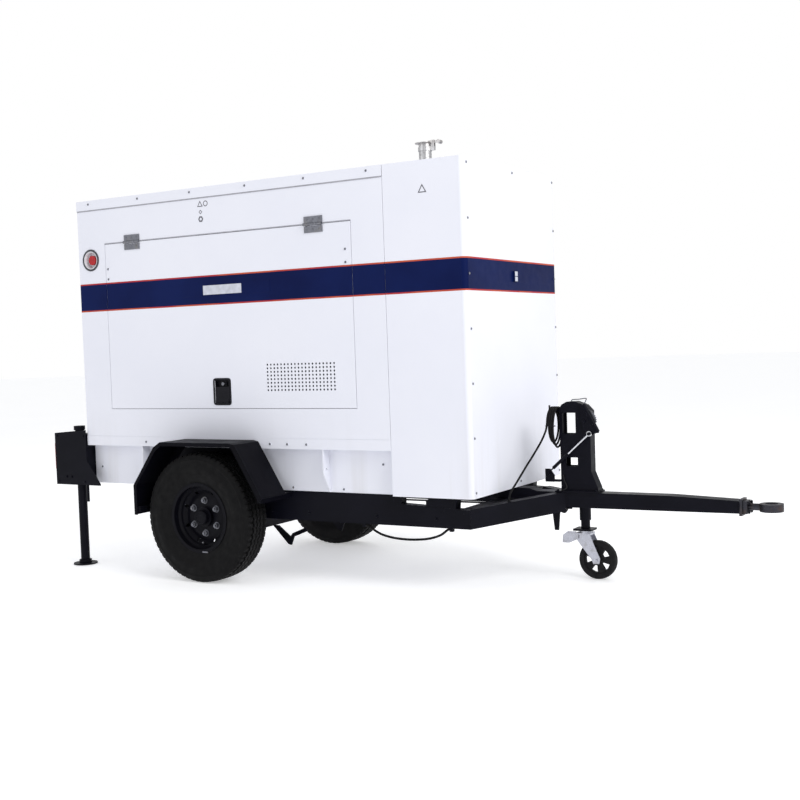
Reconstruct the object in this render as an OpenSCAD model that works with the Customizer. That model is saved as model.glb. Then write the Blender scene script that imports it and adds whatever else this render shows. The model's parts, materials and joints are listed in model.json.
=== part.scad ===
// Towable diesel generator: sound-proofed canopy set on a single-axle road trailer.
// Millimetres. +X points toward the towing eye, +Y is the left side, +Z is up.
// Lengths along X are laid out from the canopy's rear face, then shifted by mid_x.

/* [Canopy] */
// canopy length
body_l = 2915; // [2700:5:3100]
// canopy width
body_w = 1250; // [1200:2:1300]
// height of the canopy floor above the ground
floor_z = 560; // [540:2:600]
// height of the roof above the ground
roof_z = 2455; // [2300:5:2600]
// where the engine room meets the air outlet section
seam_x = 2396; // [2300:2:2500]
// sheet thickness
sheet_t = 4; // [3:0.5:5]
// depth of the roof flange
flange_h = 63; // [40:1:80]
// front corner radius
corner_r = 30; // [20:1:40]

/* [Base] */
// top of the side rail
rail_top = 885; // [860:5:900]
// bottom of the side rail
rail_bot = 822; // [800:2:840]
// half width over the recessed side plates
recess_y = 558; // [540:2:570]
// top of the tank deck
deck_z = 706; // [680:2:740]

/* [Side doors] */
// rear edge of the door leaf
door_x0 = 240; // [200:1:300]
// front edge of the door leaf
door_x1 = 2173; // [2100:1:2250]
// bottom edge of the door leaf
door_z0 = 1069; // [1000:1:1120]
// top edge of the door leaf
door_z1 = 2155; // [2100:1:2200]
// height of the hinge pin above the top edge
pin_up = 2; // [1:0.5:4]
// vent hole diameter
vent_d = 13; // [8:1:16]
// vent holes in a row
vent_nx = 20; // [10:1:24]
// vent rows
vent_nz = 8; // [4:1:9]

/* [Running gear] */
// wheel centre ahead of the canopy rear face
axle_x = 1106; // [1050:2:1200]
// tyre radius
tyre_r = 402.5; // [380:0.5:420]
// tyre width
tyre_w = 215; // [190:5:230]
// tyre middle from the centre line
tyre_y = 735; // [720:1:750]
// wheel nut circle radius
nut_r = 102.5; // [90:0.5:115]
// suspension arm length along X
arm_dx = 150; // [120:5:180]
// height of the suspension pivot
pivot_z = 335; // [320:1:350]

/* [Chassis] */
// outer face of the chassis rail from the centre line
rail_y = 560; // [500:2:570]
// chassis rail width
rail_w = 60; // [50:2:80]
// underside of the chassis rail
rail_z = 380; // [360:2:400]
// front end of the chassis rail
bend_x = 2860; // [2800:5:2900]
// drawbar arm angle in plan
arm_a = 54.7; // [45:0.1:60]
// drawbar arm rise angle
arm_rise = 4.4; // [0:0.1:8]
// end of the drawbar tube
tongue_x = 4225; // [4100:5:4300]
// towing eye centre
eye_x = 4386; // [4300:1:4450]
// towing eye height
eye_z = 492; // [460:1:520]
// towing eye bore radius
eye_bore = 34; // [25:0.5:38]
// towing eye outer radius
eye_r = 63; // [55:0.5:70]
// towing eye thickness
eye_t = 42; // [30:1:50]

/* [Jockey wheel] */
// jockey leg position along X
jockey_x = 3258; // [3200:2:3300]
// jockey leg distance from the centre line
jockey_y = 160; // [120:2:200]
// castor trail
trail = 75; // [50:1:90]
// castor wheel radius
castor_r = 116; // [100:1:125]
// castor wheel width
castor_w = 56; // [45:1:70]

/* [Rear frame] */
// rear face of the corner housings
box_x0 = -290; // [-320:2:-250]
// support leg position along X
leg_x = -101; // [-120:1:-80]
// support leg distance from the centre line
leg_y = 598; // [590:1:610]
// support leg radius
leg_r = 30; // [25:1:35]
// clearance of the foot above the ground
foot_gap = 3; // [2:1:20]

/* [Exhaust] */
// exhaust position along X
exh_x = 2460; // [2430:2:2500]
// exhaust distance to the right of the centre line
exh_y = 220; // [150:5:300]
// exhaust pipe radius
exh_r = 38; // [30:1:45]
// exhaust pipe top
exh_z = 2615; // [2550:5:2650]

/* [Hidden] */
hw = body_w / 2;
mid_x = 2070;
seg = 72;
pin_y = hw + 10.5;
pin_z = door_z1 + pin_up;
hinge_x = [415, 1849];
hinge_len = 131;
rear_pin_x = -10;
rear_pin_y = 414;
axle_z = tyre_r;
hub_y = tyre_y + 21;
stub_r = 25;
stub_gap = 0.05;
tongue_hw = 48;
lead_d = 12;
hose_d = 14;
coil_y = -25;
coil_top = 1034;
lead_coil = [
  for (i = [0 : 49])
    let (rise = 96 + 26 * i / 49)
      [
        3140.5 + 43 * i / 49, coil_y - 78 * cos(360 * i / 14),
        coil_top - rise + rise * sin(360 * i / 14)
      ]
];
lead_path = concat(
  [
    [2996, -335, 516.3], [2996, -335, 530], [3003, -326, 566], [3030, -288, 628],
    [3064, -240, 706], [3096, -188, 780], [3122, -142, 848], [3136, -114, 900]
  ],
  lead_coil,
  [[3183.5, 54.5, 880], [3183, 55, 852], [3182.5, 55, 838], [3182.5, 55, 828]]
);
hose_path = [
  [2150.3, -530, 370], [2158, -530, 370], [2172, -530, 364], [2205, -530, 340], [2260, -530, 316],
  [2340, -530, 301], [2420, -530, 297], [2500, -530, 300], [2580, -530, 311],
  [2650, -530, 334], [2690, -530, 362], [2706, -530, 370], [2714.7, -530, 370]
];

module bx(x0, x1, y0, y1, z0, z1) {
  translate([x0, y0, z0])
    cube([x1 - x0, y1 - y0, z1 - z0]);
}

module place() {
  translate([-mid_x, 0, 0])
    children();
}

// right-hand pieces are drawn on -Y; side = 1 mirrors them to +Y
module on_side(side) {
  mirror([0, side, 0])
    children();
}

// a plate in the XZ plane, from outer face y0 toward +Y
module side_plate(pts, y0, t) {
  translate([0, y0 + t, 0])
    rotate([90, 0, 0])
      linear_extrude(t)
        polygon(pts);
}

module rod_z(x, y, z0, z1, r) {
  translate([x, y, z0])
    cylinder(h = z1 - z0, r = r, $fn = seg);
}

module rod_y(x, z, y0, y1, r) {
  translate([x, y1, z])
    rotate([90, 0, 0])
      cylinder(h = y1 - y0, r = r, $fn = seg);
}

module rod_x(y, z, x0, x1, r) {
  translate([x0, y, z])
    rotate([0, 90, 0])
      cylinder(h = x1 - x0, r = r, $fn = seg);
}

// tube of n sides swept along a list of points
function unit(v) = v / norm(v);
function path_dir(p, i) =
  i == 0 ? unit(p[1] - p[0]) :
  i == len(p) - 1 ? unit(p[i] - p[i - 1]) :
  unit(unit(p[i + 1] - p[i]) + unit(p[i] - p[i - 1]));
function side_dir(d) = abs(d[1]) > 0.9 ? unit(cross(d, [0, 0, 1])) : unit(cross(d, [0, 1, 0]));
function ring_pts(c, d, r, n) = [
  for (k = [0 : n - 1])
    c + r * (cos(360 * k / n) * side_dir(d) + sin(360 * k / n) * cross(d, side_dir(d)))
];
module swept(p, r, n) {
  m = len(p);
  pts = [for (i = [0 : m - 1]) each ring_pts(p[i], path_dir(p, i), r, n)];
  walls = [
    for (i = [0 : m - 2]) for (k = [0 : n - 1])
      [i * n + k, (i + 1) * n + k, (i + 1) * n + (k + 1) % n, i * n + (k + 1) % n]
  ];
  cap_a = [[for (k = [0 : n - 1]) k]];
  cap_b = [[for (k = [n - 1 : -1 : 0]) (m - 1) * n + k]];
  polyhedron(points = pts, faces = concat(walls, cap_a, cap_b), convexity = 8);
}

// ---------- trailer chassis ----------

module chassis_rail(side) {
  color("#17181b")
    place()
      on_side(side) {
        difference() {
          side_plate([
            [460, rail_z], [bend_x, rail_z], [bend_x, 488], [seam_x + 18, 508],
            [seam_x + 18, floor_z], [460, floor_z]
          ], -rail_y, rail_w);
          bx(466, bend_x - 6, -rail_y + 6, -rail_y + rail_w - 6, rail_z + 6, 480);
          bx(466, seam_x + 12, -rail_y + 6, -rail_y + rail_w - 6, 470, floor_z - 6);
        }
        side_plate([
          [2577, 502.6], [2577, 530], [2612, floor_z], [2776, floor_z], [2770, 492]
        ], -rail_y, rail_w);
        // hose clips
        for (x = [2130, 2715])
          bx(x, x + 20, -542, -518, 358, rail_z);
      }
}

module drawbar_arm(side) {
  color("#17181b")
    place()
      on_side(side)
        difference() {
          translate([bend_x, -rail_y, rail_z])
            rotate([0, 0, arm_a])
              rotate([0, -arm_rise, 0])
                difference() {
                  translate([-80, 0, 0])
                    cube([820, rail_w, 112]);
                  translate([-60, 6, 6])
                    cube([780, rail_w - 12, 100]);
                }
          bx(bend_x - 200, bend_x, -800, 0, 200, 700);
          bx(bend_x - 200, bend_x + 900, -tongue_hw, 400, 200, 700);
        }
  // gland where the lead leaves the arm
  if (side == 0)
    color("#17181b")
      place()
        rod_z(2996, -335, 490, 516, 13);
}

module cross_member() {
  color("#17181b")
    place() {
      difference() {
        bx(2780, 2850, -rail_y + rail_w, rail_y - rail_w, rail_z, 488);
        bx(2786, 2844, -rail_y + rail_w + 6, rail_y - rail_w - 6, rail_z + 6, 482);
      }
      bx(2780, 2850, -tongue_hw, tongue_hw, 488, 495);
    }
}

module drawbar_tube() {
  color("#17181b")
    place()
      difference() {
        side_plate([
          [1900, 495], [2990, 495], [3040, 450], [3840, 455], [tongue_x, 458],
          [tongue_x, 526], [3840, 541], [3040, 541], [2990, 557], [1900, 557]
        ], -tongue_hw, 2 * tongue_hw);
        side_plate([
          [1906, 501], [2992, 501], [3044, 457], [3840, 461], [tongue_x - 10, 464],
          [tongue_x - 10, 520], [3840, 535], [3038, 535], [2988, 551], [1906, 551]
        ], -tongue_hw + 7, 2 * tongue_hw - 14);
      }
}

module tow_eye() {
  color("#2a2c30")
    place()
      difference() {
        union() {
          bx(tongue_x, tongue_x + 16, -52, 52, 446, 536);
          bx(tongue_x + 16, tongue_x + 40, -40, 40, 456, 526);
          rod_x(0, eye_z, tongue_x + 36, eye_x - eye_r + 14, 19);
          rod_z(eye_x, 0, eye_z - eye_t / 2, eye_z + eye_t / 2, eye_r);
          for (y = [-28, 28])
            for (z = [468, 514])
              rod_x(y, z, tongue_x + 38, tongue_x + 48, 8);
        }
        rod_z(eye_x, 0, eye_z - eye_t, eye_z + eye_t, eye_bore);
      }
}

// ---------- axle and wheels ----------

module axle_tube() {
  px = axle_x + arm_dx;
  color("#17181b")
    place() {
      difference() {
        bx(px - 45, px + 45, -574, 574, pivot_z - 45, pivot_z + 45);
        bx(px - 38, px + 38, -480, 480, pivot_z - 38, pivot_z + 38);
        for (s = [-1, 1])
          translate([0, s * 530, 0])
            rod_y(px, pivot_z, -60, 60, 30.05);
      }
      for (y = [-300, 288])
        side_plate([
          [px + 30, pivot_z - 45], [px + 74, pivot_z - 45], [1420, 222], [1440, 246],
          [1540, 286], [1550, 262], [1448, 222], [1426, 168], [1404, 172]
        ], y, 12);
    }
}

module axle_arm(side) {
  px = axle_x + arm_dx;
  color("#202226")
    place()
      on_side(side) {
        rod_y(px, pivot_z, -575, -475, 30);
        rod_y(px, pivot_z, -615, -574.7, 48);
        rod_y(axle_x, axle_z, -615, -574.7, 42);
        difference() {
          side_plate([
            [axle_x - 16, axle_z - 38], [px - 20, pivot_z - 43], [px + 12, pivot_z + 46],
            [axle_x + 18, axle_z + 38]
          ], -615, 40.3);
        }
        rod_y(axle_x, axle_z, -658, -615, 34);
        rod_y(axle_x, axle_z, -664, -658, 152);
        rod_y(axle_x, axle_z, -790, -664, stub_r);
      }
}

module wheel(side) {
  hy = hub_y;
  color("#1b1c20")
    place()
      on_side(side)
        translate([axle_x, -tyre_y, axle_z])
          rotate([90, 0, 0]) {
            // rim barrel with its two flanges
            rotate_extrude($fn = 96)
              polygon([
                [196, -82], [218, -82], [218, -75.3], [204.7, -75.3], [204.7, -60],
                [200, -40], [190, -28], [190, 28], [200, 40], [204.7, 60], [204.7, 75.3],
                [218, 75.3], [218, 82], [196, 82], [196, 44], [184, 30], [184, -30],
                [196, -44]
              ]);
            // dished disc
            difference() {
              rotate_extrude($fn = 96)
                polygon([
                  [62, 15], [125, 15], [150, 8], [170, 28], [184, 28], [184, 20],
                  [174, 20], [152, -2], [124, 8], [62, 8]
                ]);
              for (k = [0 : 7])
                rotate(22.5 + 45 * k)
                  translate([158, 0, -20])
                    cylinder(h = 70, r = 11, $fn = seg);
            }
            // hub, cap and nuts
            difference() {
              union() {
                translate([0, 0, -68])
                  cylinder(h = 106, r = 62, $fn = seg);
                translate([0, 0, 38])
                  cylinder(h = 22, r = 44, $fn = seg);
                translate([0, 0, -4])
                  cylinder(h = 12, r = 124, $fn = seg);
              }
              translate([0, 0, -90])
                cylinder(h = 146, r = stub_r + stub_gap, $fn = seg);
            }
            // brake drum
            rotate_extrude($fn = 96)
              polygon([
                [124, -4], [150, -4], [150, -69], [142, -69], [142, -12], [62, -12],
                [62, -4]
              ]);
            for (k = [0 : 5])
              rotate(30 + 60 * k)
                translate([nut_r, 0, 15])
                  cylinder(h = 18, r = 15, $fn = 6);
          }
}

module tyre(side) {
  h = tyre_w / 2;
  color("#141518")
    place()
      on_side(side)
        translate([axle_x, -tyre_y, axle_z])
          rotate([90, 0, 0])
            rotate_extrude($fn = 120)
              polygon([
                [205, -75], [222, -75], [262, -h + 10], [305, -h], [350, -h + 5], [380, -h + 14],
                [394, -h + 26], [400, -58], [tyre_r, -20], [tyre_r, 20], [400, 58],
                [394, h - 26], [380, h - 14], [350, h - 5], [305, h], [262, h - 10],
                [222, 75], [205, 75], [205, 62], [224, 62], [262, h - 22], [305, h - 14],
                [350, h - 20], [374, h - 32], [384, 50], [386, 18], [386, -18], [384, -50],
                [374, -h + 32], [350, -h + 20], [305, -h + 14], [262, -h + 22], [224, -62],
                [205, -62]
              ]);
}

// outline of the folded mudguard, grown inward by t
module guard_line(t) {
  polygon([
    [628, 410], [628, 598], [806, 840], [862, 874], [1410, 874], [1446, 866], [1640, 548],
    [1640 - 1.2 * t, 548 - 0.6 * t], [1443 - t * 0.8, 866 - t], [1409, 874 - t],
    [863, 874 - t], [808 + 0.4 * t, 839 - t], [628 + t, 597], [628 + t, 410]
  ]);
}

module fender(side) {
  color("#131417")
    place()
      on_side(side) {
        translate([0, -632, 0])
          rotate([90, 0, 0])
            linear_extrude(238)
              guard_line(4);
        // turned-down outer lip
        translate([0, -866, 0])
          rotate([90, 0, 0])
            linear_extrude(4)
              guard_line(24);
        // turned-down inner flange
        translate([0, -628.4, 0])
          rotate([90, 0, 0])
            linear_extrude(4)
              guard_line(50);
        // splash plate against the canopy's base
        side_plate([[640, 562], [640, 640], [760, 820], [1350, 820], [1535, 562]], -562, 3.7);
        // stays back to the chassis rail
        bx(632, 672, -862, -rail_y, 424, 464);
        bx(1598, 1637, -862, -rail_y, 520, 552);
      }
}

// ---------- rear frame ----------

module rear_box(side) {
  color("#15161a")
    place()
      on_side(side)
        difference() {
          union() {
            difference() {
              bx(box_x0, -8, -640, -520, 556, 896);
              bx(box_x0 + 6, -14, -634, -526, 562, 890);
            }
            // outer cheek with the gusset running forward
            side_plate([
              [box_x0, 550], [box_x0, 903], [0, 925], [0, 718], [118, 560], [118, 550]
            ], -646, 6);
            // top plate over the cheek edge
            rod_z(leg_x, -leg_y, 556, 902, 38);
            for (x = [-195, -147])
              rod_y(x, 604, -651, -646, 9);
            rod_z(-20, -624, 436, 556, 9);
          }
          rod_z(leg_x, -leg_y, 500, 960, leg_r + 0.3);
        }
}

module rear_beam() {
  color("#15161a")
    place() {
      difference() {
        bx(-100, 0, -520, 520, 562, 690);
        bx(-94, -6, -514, 514, 568, 684);
      }
      // number plate panel, left blank
      bx(-104, -100, -260, 260, 570, 682);
      bx(-106, -104, -250, 250, 576, 676);
    }
}

module lamps() {
  color("#a8222a")
    place()
      for (s = [-1, 1]) {
        bx(box_x0 - 16, box_x0, s > 0 ? 530 : -634, s > 0 ? 634 : -530, 655, 830);
        bx(box_x0 - 19, box_x0 - 16, s > 0 ? 534 : -630, s > 0 ? 630 : -534, 659, 826);
      }
}

module support_leg(side) {
  color("#1c1d21")
    place()
      on_side(side) {
        difference() {
          rod_z(leg_x, -leg_y, foot_gap + 20, 922, leg_r);
          rod_z(leg_x, -leg_y, foot_gap + 40, 900, leg_r - 4);
        }
        rod_z(leg_x, -leg_y, 922, 950, 38);
        rod_z(leg_x, -leg_y, foot_gap + 8, foot_gap + 30, 42);
        rod_z(leg_x, -leg_y, foot_gap, foot_gap + 8, 80);
      }
}

// ---------- brake tower ----------

module tower() {
  x0 = 3192;
  x1 = 3380;
  color("#16171b")
    place() {
      difference() {
        side_plate([
          [x0, 549], [x0, 1030], [x0 + 14, 1050], [x0 + 44, 1066], [x0 + 96, 1068],
          [x0 + 130, 1056], [x0 + 156, 1046], [x1, 1012], [x1, 661], [x1 + 38, 569],
          [x1 + 38, 549]
        ], -35, 70);
        side_plate([
          [x0 + 6, 555], [x0 + 6, 1028], [x0 + 19, 1045], [x0 + 46, 1060], [x0 + 95, 1062],
          [x0 + 127, 1050.5], [x0 + 152, 1041], [x1 - 6, 1008.5], [x1 - 6, 662],
          [x1 + 30, 569], [x1 + 30, 555]
        ], -31, 62);
        bx(x0 + 18, x0 + 98, -60, 60, 880, 1002);
        bx(x0 + 36, x0 + 106, -60, 60, 692, 742);
        rod_y(3349, 955, -60, 60, 9.05);
      }
      bx(x0 - 30, x1 + 44, -62, 62, 541, 549);
      // bracket for the lower end of the strut
      difference() {
        side_plate([[3104, 600], [3104, 676], [3134, 676], [3160, 640], [3160, 600]], -62, 10);
        rod_y(3126, 653, -90, -40, 6.05);
      }
      bx(3140, x0, -52, -20, 600, 612);
      // hook for the coiled lead
      bx(x0 - 64, x0, -33, -17, 1010, 1024.3);
      bx(x0 - 68, x0 - 64, -33, -17, 1010, 1046);
    }
}

module brake_lever() {
  color("#0f1013")
    place() {
      rod_y(3349, 955, -66, 52, 9);
      side_plate([
        [3330, 1046], [3362, 1050], [3440, 900], [3436, 888], [3420, 886], [3378, 868],
        [3362, 880], [3330, 950]
      ], -56, 12);
      // pin for the strut end
      rod_y(3385, 884, -78, -56, 6);
      rod_y(3385, 884, -80, -78, 10);
      // hand grip
      translate([3428, -50, 902])
        rotate([0, 152, 0])
          translate([0, 0, -170])
            cylinder(h = 176, r = 12, $fn = seg);
      rod_y(3349, 955, 52, 58, 15);
    }
}

module brake_strut() {
  color("#1a1b1f")
    place() {
      translate([3126, -67, 653])
        rotate([0, 48.27, 0]) {
          difference() {
            union() {
              cylinder(h = 50, r = 4, $fn = seg);
              translate([0, 0, 44])
                cylinder(h = 126, r = 10, $fn = seg);
              rotate([90, 0, 0])
                translate([0, 0, -4.5])
                  cylinder(h = 9, r = 13, $fn = seg);
            }
            rotate([90, 0, 0])
              translate([0, 0, -10])
                cylinder(h = 20, r = 6.05, $fn = seg);
            translate([0, 0, 56])
              cylinder(h = 140, r = 5.05, $fn = seg);
          }
        }
      rod_y(3126, 653, -76, -54, 6);
    }
}

module brake_rod() {
  color("#c9ccd0")
    place()
      translate([3126, -67, 653])
        rotate([0, 48.27, 0])
          difference() {
            union() {
              translate([0, 0, 62])
                cylinder(h = 274, r = 5, $fn = seg);
              translate([0, 4.5, 347])
                rotate([90, 0, 0])
                  cylinder(h = 9, r = 15, $fn = seg);
            }
            translate([0, 20, 347])
              rotate([90, 0, 0])
                cylinder(h = 40, r = 9.6, $fn = seg);
          }
}

// ---------- jockey wheel ----------

module jockey_tube() {
  color("#17181b")
    place() {
      difference() {
        union() {
          rod_z(jockey_x, jockey_y, 350, 760, 34);
          bx(jockey_x - 33, jockey_x + 40, tongue_hw, jockey_y, 460, 536);
          bx(jockey_x - 50, jockey_x + 50, jockey_y - 40, jockey_y + 40, 470, 526);
        }
        rod_z(jockey_x, jockey_y, 300, 746, 27.05);
      }
      // tapered prop bracket below the drawbar
      side_plate([[3096, 449], [3150, 450.3], [3136, 300], [3112, 300]], 36, 12);
    }
}

module jockey_stem() {
  color("#1b1c20")
    place() {
      difference() {
        rod_z(jockey_x, jockey_y, 300, 720, 27);
        rod_z(jockey_x, jockey_y, 340, 700, 22);
      }
      bx(jockey_x - 62, jockey_x + 52, jockey_y - 48, jockey_y + 48, 288, 300);
    }
}

module jockey_handle() {
  color("#8d9197")
    place() {
      rod_y(jockey_x, 498, jockey_y + 40.3, jockey_y + 92, 9);
      rod_x(jockey_y + 84, 498, jockey_x - 60, jockey_x + 60, 7);
    }
}

module jockey_fork() {
  wx = jockey_x + trail;
  color("#9aa0a6")
    place() {
      rod_z(jockey_x, jockey_y, 276, 287.7, 40);
      bx(jockey_x - 48, jockey_x + 44, jockey_y - 42, jockey_y + 42, 264, 276);
      for (s = [-1, 1])
        side_plate([
          [jockey_x - 44, 264], [jockey_x + 40, 264], [wx + 26, castor_r + 8],
          [wx + 18, castor_r - 20], [wx - 18, castor_r - 22], [wx - 30, castor_r + 6],
          [jockey_x - 30, 216], [jockey_x - 44, 236]
        ], jockey_y + (s > 0 ? 34 : -38), 4);
      rod_y(wx, castor_r, jockey_y - 46, jockey_y + 46, 8);
      // foot lever of the castor lock
      side_plate([
        [jockey_x - 44, 284], [jockey_x - 96, 284], [jockey_x - 128, 260], [jockey_x - 132, 214],
        [jockey_x - 88, 214], [jockey_x - 30, 240], [jockey_x - 30, 276], [jockey_x - 44, 276]
      ], jockey_y - 46, 4);
    }
}

module jockey_wheel() {
  wx = jockey_x + trail;
  color("#1a1b1e")
    place()
      translate([wx, jockey_y, castor_r])
        rotate([90, 0, 0]) {
          rotate_extrude($fn = 96)
            polygon([
              [84, -20], [castor_r - 10, -26], [castor_r - 2, -18], [castor_r, 0],
              [castor_r - 2, 18], [castor_r - 10, 26], [84, 20]
            ]);
          difference() {
            translate([0, 0, -14])
              cylinder(h = 28, r = 86, $fn = seg);
            translate([0, 0, -20])
              cylinder(h = 40, r = 8.05, $fn = seg);
            for (k = [0 : 4])
              rotate(36 + 72 * k)
                translate([0, 0, -20])
                  linear_extrude(40)
                    polygon([
                      [34, -8], [60, -18], [74, -24], [78, 0], [74, 24], [60, 18], [34, 8]
                    ]);
          }
          for (s = [-1, 1])
            translate([0, 0, s > 0 ? 14 : -29])
              difference() {
                cylinder(h = 15, r = 20, $fn = seg);
                translate([0, 0, -1])
                  cylinder(h = 17, r = 8.05, $fn = seg);
              }
        }
}

// ---------- leads ----------

module light_lead() {
  color("#0c0c0e")
    place()
      swept(lead_path, lead_d / 2, 8);
}

module brake_hose() {
  color("#0c0c0e")
    place()
      swept(hose_path, hose_d / 2, 8);
}

module lead_plug() {
  color("#101114")
    place()
      translate([3182.5, 55, 827.7])
        rotate([180, 0, 0]) {
          cylinder(h = 26, r = 12, $fn = seg);
          translate([0, 0, 26])
            cylinder(h = 34, r = 17, $fn = seg);
        }
}

// ---------- canopy ----------

module base_tray() {
  color("#e4e6ea")
    place() {
      difference() {
        bx(0, body_l - 10, -recess_y, recess_y, floor_z, rail_top);
        bx(6, body_l - 16, -recess_y + 6, recess_y - 6, floor_z + 6, deck_z - 6);
        bx(6, body_l - 16, -recess_y + 6, recess_y - 6, deck_z, rail_top + 20);
        rod_z(700, 430, deck_z - 20, deck_z + 20, 34);
      }
      difference() {
        rod_z(700, 430, deck_z, deck_z + 34, 42);
        rod_z(700, 430, deck_z - 10, deck_z + 60, 34);
      }
      for (s = [0, 1])
        on_side(s) {
          // hollow side rail
          difference() {
            bx(0, seam_x, -hw - 2, -recess_y, rail_bot, rail_top);
            bx(5, seam_x - 5, -hw + 3, -recess_y - 5, rail_bot + 5, rail_top - 5);
          }
          // stiffening ribs in the recess
          for (x = [484, 1915])
            difference() {
              translate([x, 0, 0])
                rotate([90, 0, 90])
                  linear_extrude(8)
                    polygon([
                      [-recess_y, rail_bot], [-hw, rail_bot], [-hw, 678], [-recess_y - 4, floor_z],
                      [-recess_y, floor_z]
                    ]);
              rod_x(-596, 704, x - 4, x + 12, 8);
            }
          for (x = [530, 1536, 1666, 1807])
            rod_y(x, 851, -hw - 5, -hw - 2, 8);
          for (p = [[63, 671], [2300, 735], [1650, 580], [2020, 580]])
            rod_y(p[0], p[1], -recess_y - 3, -recess_y, 7);
        }
      // engine bearers on the deck
      for (y = [-360, 300])
        difference() {
          bx(420, 2080, y, y + 60, deck_z, 800);
          bx(428, 2072, y + 8, y + 52, deck_z, 792);
        }
    }
}

module side_panel(side) {
  ox0 = door_x0 - 3;
  ox1 = door_x1 + 3;
  oz0 = door_z0 - 3;
  oz1 = door_z1 + 3;
  color("#e9ebee")
    place()
      on_side(side) {
        difference() {
          bx(0, seam_x - 1, -hw, -hw + sheet_t, rail_top + 0.3, roof_z - flange_h - 1);
          bx(ox0, ox1, -hw - 5, -hw + 10, oz0, oz1);
          if (side == 0)
            rod_y(108, 2060, -hw - 5, -hw + 10, 58.3);
        }
        // door frame with its sealing lip
        difference() {
          bx(ox0 - 6, ox1 + 6, -hw + sheet_t, -hw + 41, oz0 - 6, oz1 + 6);
          bx(ox0, ox1, -hw, -hw + 37, oz0, oz1);
          bx(ox0 + 28, ox1 - 28, -hw, -hw + 60, oz0 + 28, oz1 - 28);
        }
      }
}

module hinge_leaf(x, z0, z1) {
  bx(x, x + hinge_len, -hw - 5, -hw, z0, z1);
}

module knuckle(x0, x1) {
  rod_x(-pin_y, pin_z, x0, x1, 9);
}

module door(side) {
  color("#e9ebee")
    place()
      on_side(side) {
        difference() {
          bx(door_x0, door_x1, -hw, -hw + 28, door_z0, door_z1);
          bx(door_x0 + 3, door_x1 - 3, -hw + sheet_t, -hw + 40, door_z0 + 3, door_z1 - 3);
          for (i = [0 : vent_nx - 1])
            for (k = [0 : vent_nz - 1])
              rod_y(1536 + 25.7 * i, 1180 + 22.2 * k, -hw - 5, -hw + 10, vent_d / 2);
          bx(1124, 1240, -hw - 5, -hw + 10, 1102, 1246);
        }
        // inner stiffeners
        for (x = [700, 1420])
          bx(x, x + 40, -hw + sheet_t, -hw + 22, door_z0 + 3, door_z1 - 3);
        // latch pan
        difference() {
          bx(1120, 1244, -hw + sheet_t, -hw + 28, 1098, 1250);
          bx(1124, 1240, -hw, -hw + 24, 1102, 1246);
        }
        difference() {
          bx(1110, 1254, -hw - 3, -hw, 1090, 1258);
          bx(1124, 1240, -hw - 5, -hw + 5, 1102, 1246);
        }
        for (x = hinge_x) {
          difference() {
            hinge_leaf(x, 2108, pin_z - 10);
            knuckle(x - 1, x + hinge_len + 1);
          }
          difference() {
            union() {
              knuckle(x + 44, x + 87);
              bx(x + 44, x + 87, -hw - 5, -hw - 1.6, pin_z - 10, pin_z - 3);
            }
            rod_x(-pin_y, pin_z, x, x + hinge_len, 4.05);
          }
        }
        for (p = [[262, 1992], [262, 1925], [2133, 1996], [2133, 1920]])
          rod_y(p[0], p[1], -hw - 3, -hw, 8);
        // blank plaque
        bx(830, 1580, -hw - 1.2, -hw, 1776, 1850);
      }
}

module hinges() {
  color("#9ea2a8")
    place()
      for (s = [0, 1])
        on_side(s)
          for (x = hinge_x) {
            hinge_leaf(x, pin_z + 10, 2204);
            for (x0 = [x, x + 87.3]) {
              difference() {
                bx(x0, x0 + 43.7, -hw - 5, -hw - 1.6, pin_z + 3, pin_z + 10);
                rod_x(-pin_y, pin_z, x0 - 1, x0 + 50, 9);
              }
              rod_x(-pin_y, pin_z, x0, x0 + 43.7, 9);
            }
            rod_x(-pin_y, pin_z, x + 43.7, x + 87.3, 4);
          }
  // fixed halves of the rear door hinges
  color("#9ea2a8")
    place()
      for (z = [1400, 1900]) {
        for (z0 = [z, z + 65.3]) {
          rod_z(rear_pin_x, rear_pin_y, z0, z0 + 34.7, 8);
          bx(-4, 0, rear_pin_y + 6, rear_pin_y + 56, z0, z0 + 34.7);
          bx(rear_pin_x, 0, rear_pin_y + 4, rear_pin_y + 10, z0, z0 + 34.7);
        }
        rod_z(rear_pin_x, rear_pin_y, z + 34, z + 66, 4);
      }
}

module latch(side) {
  color("#101114")
    place()
      on_side(side) {
        difference() {
          bx(1128, 1236, -hw - 2, -hw + 5, 1112, 1204);
          bx(1140, 1224, -hw + 1, -hw + 6, 1120, 1190);
        }
        rod_x(-hw + 8, 1198, 1124.3, 1239.7, 5);
        bx(1128, 1236, -hw + 2, -hw + 8, 1194, 1202);
        bx(1134, 1230, -hw - 5, -hw - 2, 1104, 1126);
      }
}

module roof_panel() {
  zt = roof_z;
  zb = roof_z - flange_h;
  color("#e9ebee")
    place() {
      difference() {
        bx(-3, seam_x - 1, -hw - 3, hw + 3, zb, zt);
        bx(1, seam_x + 9, -hw + 1, hw - 1, zb - 5, zt - sheet_t);
      }
      for (s = [0, 1])
        on_side(s)
          for (k = [0 : 5])
            rod_y(110 + 437 * k, zt - 25, -hw - 6, -hw - 3, 8);
    }
}

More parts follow.
